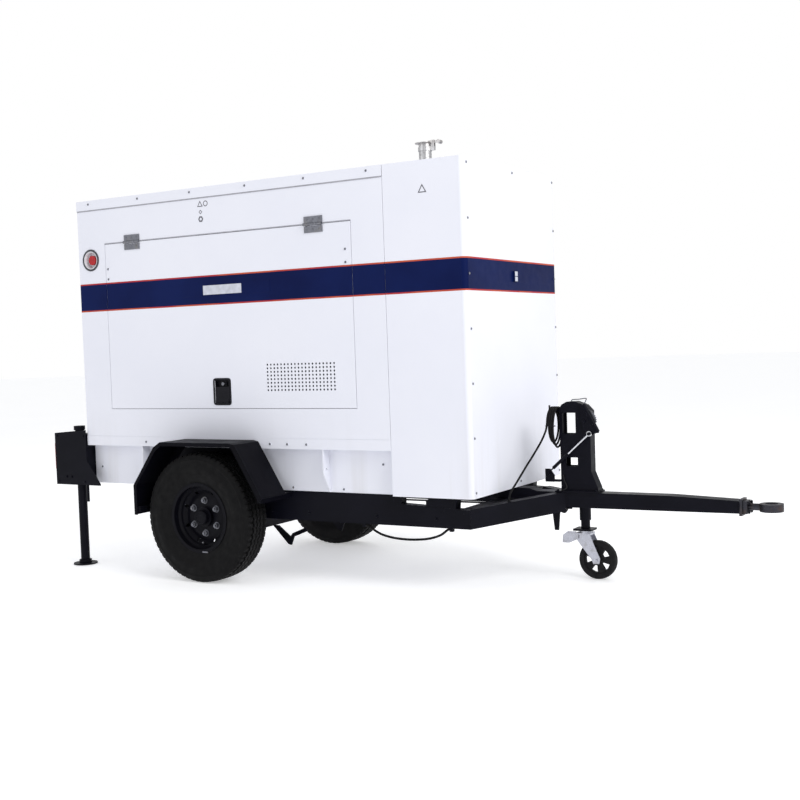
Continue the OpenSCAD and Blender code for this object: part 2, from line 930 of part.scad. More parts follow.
module plenum_shell() {
  fx = body_l - corner_r;
  color("#e6e8ec")
    place()
      difference() {
        union() {
          for (s = [0, 1])
            on_side(s) {
              bx(seam_x + 1.5, fx - 0.3, -hw, -hw + sheet_t, floor_z, roof_z - sheet_t);
              bx(seam_x + 1.5, seam_x + 5.5, -hw + sheet_t, -recess_y - 0.3, floor_z, rail_top);
            }
          bx(seam_x + 1.5, fx - 0.3, -hw, hw, roof_z - sheet_t, roof_z);
          bx(seam_x + 1.5, seam_x + 5.5, -hw + sheet_t, hw - sheet_t, rail_top, roof_z - sheet_t);
        }
        bx(seam_x - 5, seam_x + 10, -430, 430, 1000, 1880);
        rod_z(exh_x, -exh_y, roof_z - 20, roof_z + 20, exh_r + 2);
        for (k = [0 : 8])
          bx(2560, 2840, -120 + 64 * k, -84 + 64 * k, roof_z - 20, roof_z + 20);
      }
}

module front_panel() {
  r = corner_r;
  fx = body_l - r;
  color("#f0f1f4")
    place() {
      translate([0, 0, floor_z])
        linear_extrude(roof_z - floor_z)
          union() {
            translate([body_l - sheet_t, -hw + r])
              square([sheet_t, body_w - 2 * r]);
            for (s = [0, 1])
              mirror([0, s])
                translate([fx, -hw + r])
                  intersection() {
                    difference() {
                      circle(r = r, $fn = seg);
                      circle(r = r - sheet_t, $fn = seg);
                    }
                    translate([0, -r])
                      square([r, r]);
                  }
          }
      for (s = [0, 1])
        on_side(s)
          for (k = [0 : 6])
            rod_x(-hw + 36, 592 + 304.5 * k, body_l, body_l + 3, 8);
      for (z = [592, 2419])
        rod_x(0, z, body_l, body_l + 3, 8);
      bx(body_l, body_l + 12, -22, 22, 1779, 1841);
    }
}

module rear_panel() {
  color("#e3e5e9")
    place()
      difference() {
        bx(0, sheet_t, -hw + sheet_t, hw - sheet_t, rail_top + 0.3, roof_z - flange_h - 1);
        bx(-10, 20, -403, 403, 1297, 2103);
        for (k = [0 : 9])
          bx(-10, 20, -420, 420, 940 + 32 * k, 954 + 32 * k);
      }
}

module rear_door() {
  color("#e9ebee")
    place() {
      difference() {
        bx(0, 26, -400, 400, 1300, 2100);
        bx(sheet_t, 40, -397, 397, 1303, 2097);
        bx(-10, 10, -170, 170, 1640, 1880);
      }
      for (z = [1400, 1900])
        difference() {
          union() {
            bx(-4, 0, 330, 398, z, z + 100);
            rod_z(rear_pin_x, rear_pin_y, z + 35, z + 65, 8);
            bx(-5, 0, 390, 399, z + 35, z + 65);
            bx(rear_pin_x, -2.5, 397, rear_pin_y - 4, z + 35, z + 65);
          }
          rod_z(rear_pin_x, rear_pin_y, z + 20, z + 80, 4.05);
        }
      bx(-14, 0, -350, -320, 1640, 1760);
    }
}

module estop_ring() {
  color("#d9dbdf")
    place()
      difference() {
        union() {
          rod_y(108, 2060, -hw - 4, -hw - 0.3, 72);
          rod_y(108, 2060, -hw - 0.3, -hw + 48, 58);
        }
        rod_y(108, 2060, -hw - 10, -hw + 45, 55);
        rod_y(108, 2060, -hw + 40, -hw + 60, 18.05);
      }
}

module estop_button() {
  color("#c41f23")
    place() {
      rod_y(108, 2060, -hw + 34, -hw + 56, 18);
      rod_y(108, 2060, -hw + 10, -hw + 34, 31);
    }
}

module exhaust_pipe() {
  color("#b9bcc1")
    place() {
      difference() {
        union() {
          rod_z(exh_x, -exh_y, 2300, exh_z, exh_r);
          rod_z(exh_x, -exh_y, roof_z, roof_z + 14, 56);
          rod_z(exh_x, -exh_y, exh_z - 46, exh_z - 22, exh_r + 4);
        }
        rod_z(exh_x, -exh_y, 2290, exh_z + 10, exh_r - 3);
      }
      // clamp lugs and cap pivot
      difference() {
        bx(exh_x + 36, exh_x + 66, -exh_y - 9, -exh_y + 9, exh_z - 44, exh_z - 22);
        rod_z(exh_x, -exh_y, exh_z - 60, exh_z, exh_r);
      }
      for (s = [-1, 1])
        difference() {
          bx(exh_x + 44, exh_x + 66, -exh_y + s * 7 - 2, -exh_y + s * 7 + 2, exh_z - 22, exh_z + 16);
          rod_y(exh_x + 56, exh_z + 8, -exh_y - 20, -exh_y + 20, 4.05);
        }
    }
}

module rain_cap() {
  color("#c3c6cb")
    place() {
      difference() {
        rod_z(exh_x - 2, -exh_y, exh_z + 0.3, exh_z + 4, exh_r + 20);
        bx(exh_x + 40, exh_x + 80, -exh_y - 60, -exh_y + 60, exh_z - 5, exh_z + 10);
      }
      bx(exh_x + 20, exh_x + 62, -exh_y - 4.5, -exh_y + 4.5, exh_z + 1, exh_z + 14);
      rod_y(exh_x + 56, exh_z + 8, -exh_y - 13, -exh_y + 13, 4);
      bx(exh_x + 62, exh_x + 92, -exh_y - 4.5, -exh_y + 4.5, exh_z - 2, exh_z + 12);
      rod_y(exh_x + 98, exh_z + 2, -exh_y - 18, -exh_y + 18, 12);
    }
}

// ---------- power unit ----------

module engine() {
  color("#3d5a46")
    place() {
      difference() {
        union() {
          bx(1250, 2010, -170, 170, 860, 1290);
          bx(1270, 1990, -115, 115, 1290, 1450);
          bx(1340, 1930, -130, 130, 760, 860);
          rod_x(0, 1080, 1186, 1250, 235);
        }
        rod_x(0, 1080, 2004, 2020, 40.3);
        bx(1275, 1985, -148, 148, 880, 1270);
        bx(1300, 1960, -95, 95, 1300, 1430);
        bx(1350, 1920, -120, 120, 770, 850);
      }
      // manifold and feet
      bx(1320, 1940, -190, -115, 1310, 1370);
      for (x = [1300, 1880])
        for (s = [-1, 1])
          bx(x, x + 80, s > 0 ? 170 : -360, s > 0 ? 360 : -170, 800, 900);
    }
}

module alternator() {
  color("#4a4e55")
    place() {
      difference() {
        rod_x(0, 1080, 470, 1186, 235);
        rod_x(0, 1080, 490, 1166, 214);
      }
      rod_x(0, 1080, 440, 470, 200);
      difference() {
        bx(560, 1060, -190, 190, 1290, 1470);
        bx(564, 1056, -186, 186, 1320, 1466);
      }
      for (x = [560, 1020])
        for (s = [-1, 1])
          bx(x, x + 80, s > 0 ? 180 : -360, s > 0 ? 360 : -180, 800, 950);
    }
}

module radiator() {
  color("#202226")
    place() {
      difference() {
        bx(2300, 2390, -440, 440, 960, 1900);
        bx(2318, 2372, -425, 425, 975, 1885);
      }
      for (y = [-430, 380])
        bx(2310, 2380, y, y + 50, deck_z, 960);
      rod_z(2345, 0, 1900, 1930, 45);
    }
}

module fan() {
  color("#101114")
    place()
      translate([2004.3, 0, 1080])
        rotate([0, 90, 0]) {
          cylinder(h = 206, r = 40, $fn = seg);
          for (k = [0 : 5])
            rotate(60 * k)
              translate([20, -45, 150])
                rotate([24, 0, 0])
                  cube([310, 90, 6]);
          translate([0, 0, 120])
            cylinder(h = 80, r = 70, $fn = seg);
        }
}

module silencer() {
  color("#7c8087")
    place() {
      difference() {
        rod_y(2560, 2150, -480, 420, 120);
        rod_y(2560, 2150, -476, 416, 117);
      }
      difference() {
        rod_z(exh_x, -exh_y, 2205, 2299.7, exh_r);
        rod_y(2560, 2150, -476, 416, 117);
        rod_z(exh_x, -exh_y, 2150, 2310, exh_r - 3);
      }
      bx(seam_x + 5.5, 2470, 100, 150, 2100, 2200);
      bx(seam_x + 5.5, 2470, -420, -370, 2100, 2200);
    }
}

module air_filter() {
  color("#2b2d31")
    place() {
      difference() {
        rod_x(60, 1650, 1360, 1800, 110);
        rod_x(60, 1650, 1364, 1796, 106);
      }
      rod_x(60, 1650, 1340, 1360, 80);
      bx(1480, 1640, 10, 110, 1450, 1560);
    }
}

module battery() {
  color("#1a1b1e")
    place() {
      bx(120, 380, -530, -360, deck_z, 900);
      for (y = [-500, -390])
        rod_z(340, y, 900, 918, 9);
    }
}

module control_panel() {
  color("#c9ccd1")
    place() {
      difference() {
        bx(60, 260, -370, 370, 1320, 2060);
        bx(64, 256, -366, 366, 1324, 2056);
      }
      for (y = [-340, 290])
        bx(140, 190, y, y + 50, deck_z, 1320);
      bx(52, 60, -140, 140, 1660, 1860);
      // main switch
      bx(45, 60, -120, 120, 1400, 1560);
      bx(30, 45, -20, 20, 1440, 1520);
    }
}

module fuel_cap() {
  color("#101114")
    place() {
      rod_z(700, 430, deck_z + 34.3, deck_z + 60, 48);
      rod_z(700, 430, deck_z + 8, deck_z + 34.3, 33.7);
      bx(680, 720, 420, 440, deck_z + 60, deck_z + 74);
    }
}

chassis_rail(0);  // rail_right
chassis_rail(1);  // rail_left
drawbar_arm(0);  // drawbar_arm_right
drawbar_arm(1);  // drawbar_arm_left
cross_member();
drawbar_tube();
tow_eye();
axle_tube();
axle_arm(0);  // axle_arm_right
axle_arm(1);  // axle_arm_left
wheel(0);  // wheel_right
wheel(1);  // wheel_left
tyre(0);  // tyre_right
tyre(1);  // tyre_left
fender(0);  // fender_right
fender(1);  // fender_left
rear_box(0);  // rear_box_right
rear_box(1);  // rear_box_left
rear_beam();
lamps();
support_leg(0);  // support_leg_right
support_leg(1);  // support_leg_left
tower();
brake_lever();
brake_strut();
brake_rod();
jockey_tube();
jockey_stem();
jockey_handle();
jockey_fork();
jockey_wheel();
light_lead();
lead_plug();
brake_hose();
base_tray();
side_panel(0);  // side_panel_right
side_panel(1);  // side_panel_left
door(0);  // door_right
door(1);  // door_left
hinges();
latch(0);  // latch_right
latch(1);  // latch_left
roof_panel();
plenum_shell();
front_panel();
rear_panel();
rear_door();
estop_ring();
estop_button();
exhaust_pipe();
rain_cap();
engine();
air_filter();
alternator();
radiator();
fan();
silencer();
battery();
control_panel();
fuel_cap();
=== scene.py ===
import bmesh
import bpy
import json
import math
import random
from mathutils import Matrix, Vector


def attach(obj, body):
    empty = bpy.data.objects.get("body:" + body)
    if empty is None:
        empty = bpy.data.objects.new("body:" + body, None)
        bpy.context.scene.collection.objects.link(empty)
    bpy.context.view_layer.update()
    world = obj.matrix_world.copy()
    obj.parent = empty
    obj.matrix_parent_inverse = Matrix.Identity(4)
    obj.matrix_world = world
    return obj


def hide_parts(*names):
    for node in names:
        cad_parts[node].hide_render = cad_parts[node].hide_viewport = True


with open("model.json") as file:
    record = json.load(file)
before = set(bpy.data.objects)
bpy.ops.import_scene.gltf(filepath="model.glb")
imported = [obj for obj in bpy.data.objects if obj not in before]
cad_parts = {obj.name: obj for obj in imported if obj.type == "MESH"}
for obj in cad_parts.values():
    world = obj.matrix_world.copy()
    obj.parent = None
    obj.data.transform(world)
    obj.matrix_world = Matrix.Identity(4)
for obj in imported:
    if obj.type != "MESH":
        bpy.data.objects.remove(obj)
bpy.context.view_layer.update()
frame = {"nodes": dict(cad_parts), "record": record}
nodes = frame["nodes"]
random.seed(7)

MID_X = 2070.0


def V(x, y, z):
    """A point of the CAD layout, in millimetres from the canopy's rear face, in metres of the row frame."""
    return Vector(((x - MID_X) / 1000, y / 1000, z / 1000))


# ---------- camera
AZIMUTH, ELEVATION, ROLL = (math.radians(a) for a in (30.642, 2.803, -1.979))
back = Vector((math.sin(AZIMUTH) * math.cos(ELEVATION), -math.cos(AZIMUTH) * math.cos(ELEVATION),
    math.sin(ELEVATION)))
right = (-back).cross(Vector((0, 0, 1))).normalized()
up = right.cross(-back)
cam_x = math.cos(ROLL) * right + math.sin(ROLL) * up
cam_y = -math.sin(ROLL) * right + math.cos(ROLL) * up
camera_data = bpy.data.cameras.new("camera")
camera_data.sensor_width = 36
camera_data.lens = 53.21
camera_data.clip_end = 200
camera = bpy.data.objects.new("camera", camera_data)
bpy.context.collection.objects.link(camera)
rotation = Matrix((cam_x, cam_y, back)).transposed().to_4x4()
camera.matrix_world = Matrix.Translation((3.828, -6.417, 1.445)) @ rotation
bpy.context.scene.camera = camera
bpy.context.scene.view_settings.view_transform = "Standard"


# ---------- materials
class Graph:
    """Short calls for building one material's nodes."""

    def __init__(self, name):
        self.material = bpy.data.materials.new(name)
        self.material.use_nodes = True
        self.tree = self.material.node_tree
        self.shader = self.tree.nodes["Principled BSDF"]
        self.coords = self.node("ShaderNodeTexCoord").outputs["Object"]
        self.heights = []

    def node(self, kind, inputs=(), **settings):
        n = self.tree.nodes.new(kind)
        for key, value in settings.items():
            setattr(n, key, value)
        for key, value in dict(inputs).items():
            self.plug(n.inputs[key], value)
        return n

    def plug(self, socket, value):
        if isinstance(value, bpy.types.NodeSocket):
            self.tree.links.new(value, socket)
        else:
            socket.default_value = value

    def math(self, operation, a, b=0.0, clamp=False):
        return self.node("ShaderNodeMath", {0: a, 1: b}, operation=operation, use_clamp=clamp).outputs[0]

    def times(self, a, b):
        return self.math("MULTIPLY", a, b)

    def length(self, a, b):
        return self.math("SQRT", self.math("ADD", self.times(a, a), self.times(b, b)))

    def wave(self, value, waves):
        return self.math("SINE", self.times(value, waves))

    def noise(self, scale, detail=4.0, rough=0.55, vector=None, stretch=None):
        vector = self.coords if vector is None else vector
        if stretch:
            vector = self.node("ShaderNodeMapping", {"Vector": vector, "Scale": stretch}).outputs[0]
        inputs = {"Vector": vector, "Scale": scale, "Detail": detail, "Roughness": rough}
        return self.node("ShaderNodeTexNoise", inputs).outputs["Fac"]

    def band(self, value, low, high, out_low=0.0, out_high=1.0):
        inputs = {"Value": value, 1: low, 2: high, 3: out_low, 4: out_high}
        return self.node("ShaderNodeMapRange", inputs, clamp=True).outputs[0]

    def mix(self, factor, a, b):
        n = self.node("ShaderNodeMix", data_type="RGBA")
        self.plug(n.inputs[0], factor)
        self.plug(n.inputs[6], (*a, 1) if isinstance(a, tuple) else a)
        self.plug(n.inputs[7], (*b, 1) if isinstance(b, tuple) else b)
        return n.outputs[2]

    def axis(self, vector=None):
        return self.node("ShaderNodeSeparateXYZ", {0: self.coords if vector is None else vector}).outputs

    def inside(self, value, low, high):
        """1 where low < value < high."""
        return self.math("MULTIPLY", self.math("GREATER_THAN", value, low),
            self.math("LESS_THAN", value, high))

    def colour(self, value):
        self.plug(self.shader.inputs["Base Color"], (*value, 1) if isinstance(value, tuple) else value)

    def rough(self, value):
        self.plug(self.shader.inputs["Roughness"], value)

    def bump(self, height, depth, strength=1.0):
        """depth is in metres."""
        self.heights.append((height, depth, strength))

    def done(self, **constants):
        normal = None
        for height, depth, strength in self.heights:
            n = self.node("ShaderNodeBump", {"Height": height, "Distance": depth, "Strength": strength})
            if normal is not None:
                self.plug(n.inputs["Normal"], normal)
            normal = n.outputs[0]
        if normal is not None:
            self.plug(self.shader.inputs["Normal"], normal)
        for key, value in constants.items():
            self.shader.inputs[key.replace("_", " ")].default_value = value
        return self.material


def chips(g):
    """1 in a few small scuffs."""
    return g.times(g.band(g.noise(70, 6), 0.66, 0.72), g.band(g.noise(5, 4), 0.5, 0.62))


def dust_up(g, amount):
    """Dust on faces that look up, broken by noise."""
    z = g.axis(g.node("ShaderNodeNewGeometry").outputs["Normal"])[2]
    return g.times(g.band(z, 0.2, 1.0, 0.0, amount), g.band(g.noise(9, 6), 0.35, 0.7))


def paint(name, base, rough, dust=0.1, spec=0.5, peel=1.0, tint=0.25, coat=0.0, chip=(0.2, 0.2, 0.21)):
    g = Graph(name)
    cloud = g.band(g.noise(3.1, 5), 0.3, 0.7)
    dark = tuple(c * (1 - tint) for c in base)
    colour = g.mix(cloud, dark, base)
    colour = g.mix(dust_up(g, dust), colour, (0.24, 0.22, 0.19))
    colour = g.mix(g.times(chips(g), 0.3), colour, chip)
    g.colour(colour)
    g.rough(g.band(g.noise(14, 5), 0.3, 0.7, rough - 0.07, rough + 0.09))
    g.bump(g.noise(520, 2), 0.00012 * peel, 0.6)
    g.bump(g.noise(6, 3), 0.0012 * peel, 0.25)
    return g.done(Specular_IOR_Level=spec, Coat_Weight=coat, Coat_Roughness=0.15)


BAND_Z = (1.726, 1.895)
EDGE = 0.009


def canopy_paint():
    """White powder coat with the dark blue band edged in red on the outer faces."""
    g = Graph("canopy_powder_coat")
    x, y, z = g.axis()
    cloud = g.band(g.noise(1.3, 4), 0.3, 0.7)
    white = g.mix(cloud, (0.755, 0.765, 0.835), (0.79, 0.797, 0.86))
    streak = g.band(g.noise(7, 6, stretch=(1, 1, 0.06)), 0.52, 0.72)
    low = g.band(z, 1.1, 0.55, 0.0, 1.0)
    white = g.mix(g.times(g.times(streak, low), 0.32), white, (0.5, 0.48, 0.45))
    white = g.mix(dust_up(g, 0.12), white, (0.55, 0.53, 0.49))
    outer = g.math("GREATER_THAN", g.math("ABSOLUTE", y), 0.6225)
    outer = g.math("MAXIMUM", outer, g.math("GREATER_THAN", x, 0.8412))
    dx = g.math("MAXIMUM", g.math("SUBTRACT", x, 0.815), 0.0)
    dy = g.math("MAXIMUM", g.math("SUBTRACT", g.math("ABSOLUTE", y), 0.595), 0.0)
    reach = g.length(dx, dy)
    outer = g.math("MAXIMUM", outer, g.math("GREATER_THAN", reach, 0.028))
    outer = g.math("MAXIMUM", outer, g.math("LESS_THAN", x, -2.0665))
    blue = g.mix(g.band(g.noise(2.3, 4), 0.35, 0.65), (0.0015, 0.006, 0.052), (0.003, 0.01, 0.072))
    red = g.mix(g.band(g.noise(5, 3), 0.4, 0.6), (0.4, 0.03, 0.035), (0.5, 0.09, 0.04))
    on_red = g.times(g.inside(z, BAND_Z[0] - EDGE, BAND_Z[1] + EDGE), outer)
    on_blue = g.times(g.inside(z, *BAND_Z), outer)
    colour = g.mix(on_blue, g.mix(on_red, white, red), blue)
    g.colour(colour)
    base = g.band(g.noise(20, 4), 0.3, 0.7, 0.3, 0.42)
    g.rough(g.math("ADD", base, g.times(on_blue, 0.05)))
    g.bump(g.noise(620, 2), 0.0001, 0.5)
    g.bump(g.noise(1.7, 2), 0.004, 0.12)
    g.bump(g.math("MAXIMUM", on_red, on_blue), 0.00025, 0.8)
    return g.done(Specular_IOR_Level=0.07)


def rubber(name, base=0.012, sidewall=False):
    g = Graph(name)
    grain = g.band(g.noise(30, 6), 0.3, 0.7)
    colour = g.mix(grain, (base, base, base * 1.15), (base * 1.9, base * 1.85, base * 1.9))
    colour = g.mix(dust_up(g, 0.06), colour, (0.1, 0.095, 0.085))
    g.colour(colour)
    g.rough(g.band(g.noise(18, 5), 0.3, 0.7, 0.55, 0.78))
    g.bump(g.noise(900, 3), 0.00015, 0.6)
    if sidewall:
        x, _, z = g.axis(g.node("ShaderNodeMapping",
            {"Vector": g.coords, "Location": (0.964, 0, -0.4025)}).outputs[0])
        radius = g.length(x, z)
        g.bump(g.wave(radius, 900), 0.0006, 0.35)
    return g.done(Specular_IOR_Level=0.1)


def steel(name, base, rough, brushed=(1, 1, 1), stain=None, amount=0.4, metal=1.0):
    g = Graph(name)
    grain = g.noise(180, 4, stretch=brushed)
    dark = tuple(c * 0.72 for c in base)
    colour = g.mix(g.band(grain, 0.3, 0.7), dark, base)
    if stain:
        colour = g.mix(g.times(g.band(g.noise(26, 6), 0.5, 0.68), amount), colour, stain)
    g.colour(colour)
    g.rough(g.band(g.noise(40, 5), 0.3, 0.7, rough - 0.08, rough + 0.12))
    g.bump(grain, 0.00012, 0.5)
    return g.done(Metallic=metal)


def exhaust_steel():
    g = Graph("exhaust_stainless")
    z = g.axis()[2]
    grain = g.noise(220, 4, stretch=(1, 1, 0.1))
    tint = g.math("ADD", g.band(z, 2.46, 2.64), g.times(g.noise(11, 5), 0.5))
    colour = g.mix(g.band(grain, 0.3, 0.7), (0.5, 0.5, 0.52), (0.72, 0.71, 0.7))
    colour = g.mix(g.times(g.band(tint, 0.9, 1.4), 0.45), colour, (0.36, 0.27, 0.19))
    colour = g.mix(g.times(g.band(g.noise(60, 6), 0.55, 0.7), 0.4), colour, (0.1, 0.09, 0.085))
    g.colour(colour)
    g.rough(g.band(g.noise(30, 5), 0.3, 0.7, 0.3, 0.5))
    g.bump(grain, 0.00012, 0.5)
    return g.done(Metallic=1.0)


def stop_plate():
    """The emergency stop's round cup: dark rim, white inside."""
    g = Graph("stop_plate")
    x, _, z = g.axis(g.node("ShaderNodeMapping",
        {"Vector": g.coords, "Location": (1.962, 0, -2.06)}).outputs[0])
    radius = g.length(x, z)
    radius = g.math("ADD", radius, g.times(g.math("SUBTRACT", g.noise(70, 4), 0.5), 0.002))
    dark = g.mix(g.noise(90), (0.02, 0.022, 0.03), (0.05, 0.052, 0.06))
    white = g.mix(g.noise(40), (0.74, 0.74, 0.78), (0.82, 0.82, 0.85))
    colour = g.mix(g.inside(radius, 0.0585, 0.074), white, dark)
    g.colour(colour)
    g.rough(g.band(g.noise(60, 4), 0.3, 0.7, 0.3, 0.5))
    g.bump(g.noise(700, 2), 0.0001, 0.6)
    return g.done(Specular_IOR_Level=0.5)


def plastic(name, base, rough, spec=0.5, grain=900, clear=0.0):
    g = Graph(name)
    dark = tuple(c * 0.75 for c in base)
    g.colour(g.mix(g.band(g.noise(24, 5), 0.3, 0.7), dark, base))
    g.rough(g.band(g.noise(35, 4), 0.3, 0.7, max(0.03, rough - 0.06), rough + 0.08))
    g.bump(g.noise(grain, 3), 0.00012, 0.6)
    return g.done(Specular_IOR_Level=spec, Transmission_Weight=clear, IOR=1.45)


def lens(name, base):
    """Coloured lamp lens with small prisms."""
    g = Graph(name)
    _, y, z = g.axis()
    prisms = g.times(g.wave(y, 900), g.wave(z, 900))
    dark = tuple(c * 0.6 for c in base)
    # painted shade: the prisms' hollows are darker than their crests, following the prism bump
    g.colour(g.mix(g.band(prisms, -0.6, 0.6), dark, base))
    g.rough(g.band(g.noise(30), 0.3, 0.7, 0.08, 0.2))
    g.bump(prisms, 0.0006, 0.7)
    return g.done(Specular_IOR_Level=0.6, Coat_Weight=0.6, Coat_Roughness=0.05)


def foam():
    g = Graph("acoustic_foam")
    x, _, z = g.axis()
    waves = g.times(g.wave(x, 210), g.wave(z, 210))
    # painted shade: the foam's hollows are darker and its crests lighter, following the same waves as the
    # bump
    g.colour(g.mix(g.band(waves, -1.0, 1.0), (0.006, 0.006, 0.007), (0.035, 0.035, 0.038)))
    g.rough(g.band(g.noise(300, 5), 0.3, 0.7, 0.85, 1.0))
    g.bump(waves, 0.006, 0.9)
    g.bump(g.noise(1200, 4), 0.0006, 0.8)
    return g.done(Specular_IOR_Level=0.15)


def core():
    """Radiator core: fine vertical tubes and horizontal fins."""
    g = Graph("radiator_core")
    _, y, z = g.axis()
    tubes = g.wave(y, 700)
    fins = g.wave(z, 2600)
    # painted shade: the gaps between the tubes are darker than the tube crowns, following the tube bump
    g.colour(g.mix(g.band(tubes, 0.2, 0.8), (0.02, 0.02, 0.022), (0.12, 0.12, 0.125)))
    g.rough(g.band(g.noise(50), 0.3, 0.7, 0.4, 0.6))
    g.bump(tubes, 0.003, 0.8)
    g.bump(fins, 0.001, 0.6)
    return g.done(Metallic=0.7)


def floor_paint():
    g = Graph("floor_pale")
    cloud = g.noise(0.7, 4)
    g.colour(g.mix(g.band(cloud, 0.3, 0.7), (0.9, 0.905, 0.91), (0.93, 0.93, 0.935)))
    g.rough(g.band(g.noise(4), 0.3, 0.7, 0.75, 0.9))
    g.bump(g.noise(120, 3), 0.0003, 0.3)
    return g.done(Specular_IOR_Level=0.1, Emission_Color=(1, 1, 1, 1), Emission_Strength=0.38)


BLACK = (0.0045, 0.0046, 0.009)
M = {
    "chassis_black": paint("chassis_gloss_black", BLACK, 0.4, dust=0.02, spec=0.08, tint=0.4,
    chip=(0.07, 0.07, 0.08)),
    "fender_black": paint("fender_black", (0.003, 0.003, 0.006), 0.46, dust=0.01, spec=0.06, tint=0.4,
    chip=(0.05, 0.05, 0.06)),
    "wheel_black": paint("wheel_black", (0.004, 0.004, 0.007), 0.42, dust=0.01, spec=0.09, tint=0.4,
    chip=(0.06, 0.06, 0.07)),
    "tyre_rubber": rubber("tyre_rubber", 0.004, sidewall=True),
    "eye_steel": steel("forged_eye", (0.055, 0.055, 0.065), 0.42, stain=(0.16, 0.09, 0.05), amount=0.25),
    "lamp_lens": lens("red_lens", (0.42, 0.012, 0.01)),
    "rod_chrome": steel("polished_rod", (0.78, 0.79, 0.82), 0.2, brushed=(0.3, 1, 0.3)),
    "zinc": steel("zinc_plate", (0.24, 0.245, 0.275), 0.48, stain=(0.24, 0.23, 0.22), amount=0.5),
    "castor_rubber": rubber("castor_rubber", 0.009),
    "lead_black": rubber("lead_sheath", 0.006),
    "canopy_white": canopy_paint(),
    "latch_black": plastic("latch_black", (0.006, 0.006, 0.01), 0.42, spec=0.18),
    "stop_red": plastic("stop_red", (0.5, 0.01, 0.015), 0.24, grain=300),
    "exhaust_steel": exhaust_steel(),
    "engine_paint": paint("engine_green", (0.035, 0.12, 0.06), 0.38, dust=0.2),
    "alternator_paint": paint("alternator_grey", (0.09, 0.1, 0.11), 0.42, dust=0.2),
    "radiator_alloy": core(),
    "moulded_black": plastic("moulded_black", (0.014, 0.014, 0.016), 0.5),
    "silencer_steel": steel("aluminised_steel", (0.42, 0.42, 0.43), 0.45, stain=(0.25, 0.17, 0.1),
    amount=0.5),
    "battery_case": plastic("battery_case", (0.012, 0.012, 0.014), 0.45),
    "cabinet_grey": paint("cabinet_grey", (0.42, 0.44, 0.47), 0.4, dust=0.1),
}
M["bright_zinc"] = steel("bright_zinc", (0.6, 0.61, 0.68), 0.38, stain=(0.3, 0.29, 0.28), amount=0.5)
M["stop_plate"] = stop_plate()
# grey for the strips painted as shadow lines under the roof flange and over the doors
M["shadow_line_grey"] = plastic("shadow_line_grey", (0.4, 0.4, 0.44), 0.6, spec=0.2)
M["foam"] = foam()
M["dark_mesh"] = plastic("dark_mesh", (0.012, 0.012, 0.014), 0.7, spec=0.2)
M["decal_grey"] = plastic("decal_grey", (0.13, 0.13, 0.15), 0.45, grain=300)
M["decal_white"] = plastic("decal_white", (0.62, 0.64, 0.72), 0.4, grain=300)
M["glass"] = plastic("window_glass", (0.75, 0.8, 0.82), 0.04, spec=0.6, grain=20, clear=0.9)
M["dial_white"] = plastic("dial_white", (0.8, 0.8, 0.78), 0.4)
M["screen"] = plastic("screen_green", (0.1, 0.17, 0.12), 0.15)
M["hose_rubber"] = rubber("hose_rubber", 0.014)
M["seal"] = rubber("door_seal", 0.008)


# side door hinges: start of each leaf, and the pin's height, in layout millimetres
HINGE_X = (415, 1849)
PIN_Z = 2157


# ---------- mesh tools
def finish_mesh(bm, name, material, body, bevel=0.0, parts=2):
    bmesh.ops.remove_doubles(bm, verts=bm.verts, dist=1e-6)
    bmesh.ops.recalc_face_normals(bm, faces=bm.faces)
    mesh = bpy.data.meshes.new(name)
    bm.to_mesh(mesh)
    bm.free()
    mesh.materials.append(M[material])
    obj = bpy.data.objects.new(name, mesh)
    bpy.context.collection.objects.link(obj)
    round_off(obj, bevel, parts)
    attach(obj, body)
    return obj


def round_off(obj, bevel, parts):
    if bevel:
        m = obj.modifiers.new("edges", "BEVEL")
        m.width = bevel
        m.segments = parts
        m.limit_method = "ANGLE"
        m.angle_limit = math.radians(40)
        m.harden_normals = True
        m.use_clamp_overlap = True


def box(bm, lo, hi):
    """lo and hi are layout corners in millimetres."""
    a, b = V(*lo), V(*hi)
    corners = [bm.verts.new((x, y, z)) for z in (a.z, b.z) for y in (a.y, b.y) for x in (a.x, b.x)]
    for f in ((0, 1, 3, 2), (4, 6, 7, 5), (0, 4, 5, 1), (2, 3, 7, 6), (0, 2, 6, 4), (1, 5, 7, 3)):
        bm.faces.new([corners[i] for i in f])


def frame_of(axis):
    w = Vector(axis).normalized()
    u = w.orthogonal().normalized()
    return u, w.cross(u), w


def lathe(bm, centre, axis, profile, n=32, closed=False, smooth=True, phase=0.0):
    """profile is (radius, distance along axis) in millimetres; a zero radius closes with one point."""
    c = V(*centre)
    u, v, w = frame_of(axis)
    rings = []
    for r, h in profile:
        at = c + w * h / 1000
        if r <= 1e-9:
            rings.append([bm.verts.new(at)])
            continue
        ring = []
        for k in range(n):
            t = 2 * math.pi * k / n + phase
            ring.append(bm.verts.new(at + (u * math.cos(t) + v * math.sin(t)) * r / 1000))
        rings.append(ring)
    pairs = list(zip(rings, rings[1:]))
    if closed:
        pairs.append((rings[-1], rings[0]))
    for a, b in pairs:
        for k in range(n):
            quad = [a[k % len(a)], a[(k + 1) % len(a)], b[(k + 1) % len(b)], b[k % len(b)]]
            unique = list(dict.fromkeys(quad))
            if len(unique) > 2:
                f = bm.faces.new(unique)
                f.smooth = smooth
    return rings


def rod(bm, centre, axis, length, r, n=24, chamfer=0.0, phase=0.0, smooth=True):
    c = min(chamfer, r * 0.5)
    profile = [(0, 0), (r - c, 0), (r, c), (r, length - c), (r - c, length), (0, length)]
    if not c:
        profile = [(0, 0), (r, 0), (r, length), (0, length)]
    lathe(bm, centre, axis, profile, n=n, phase=phase, smooth=smooth)


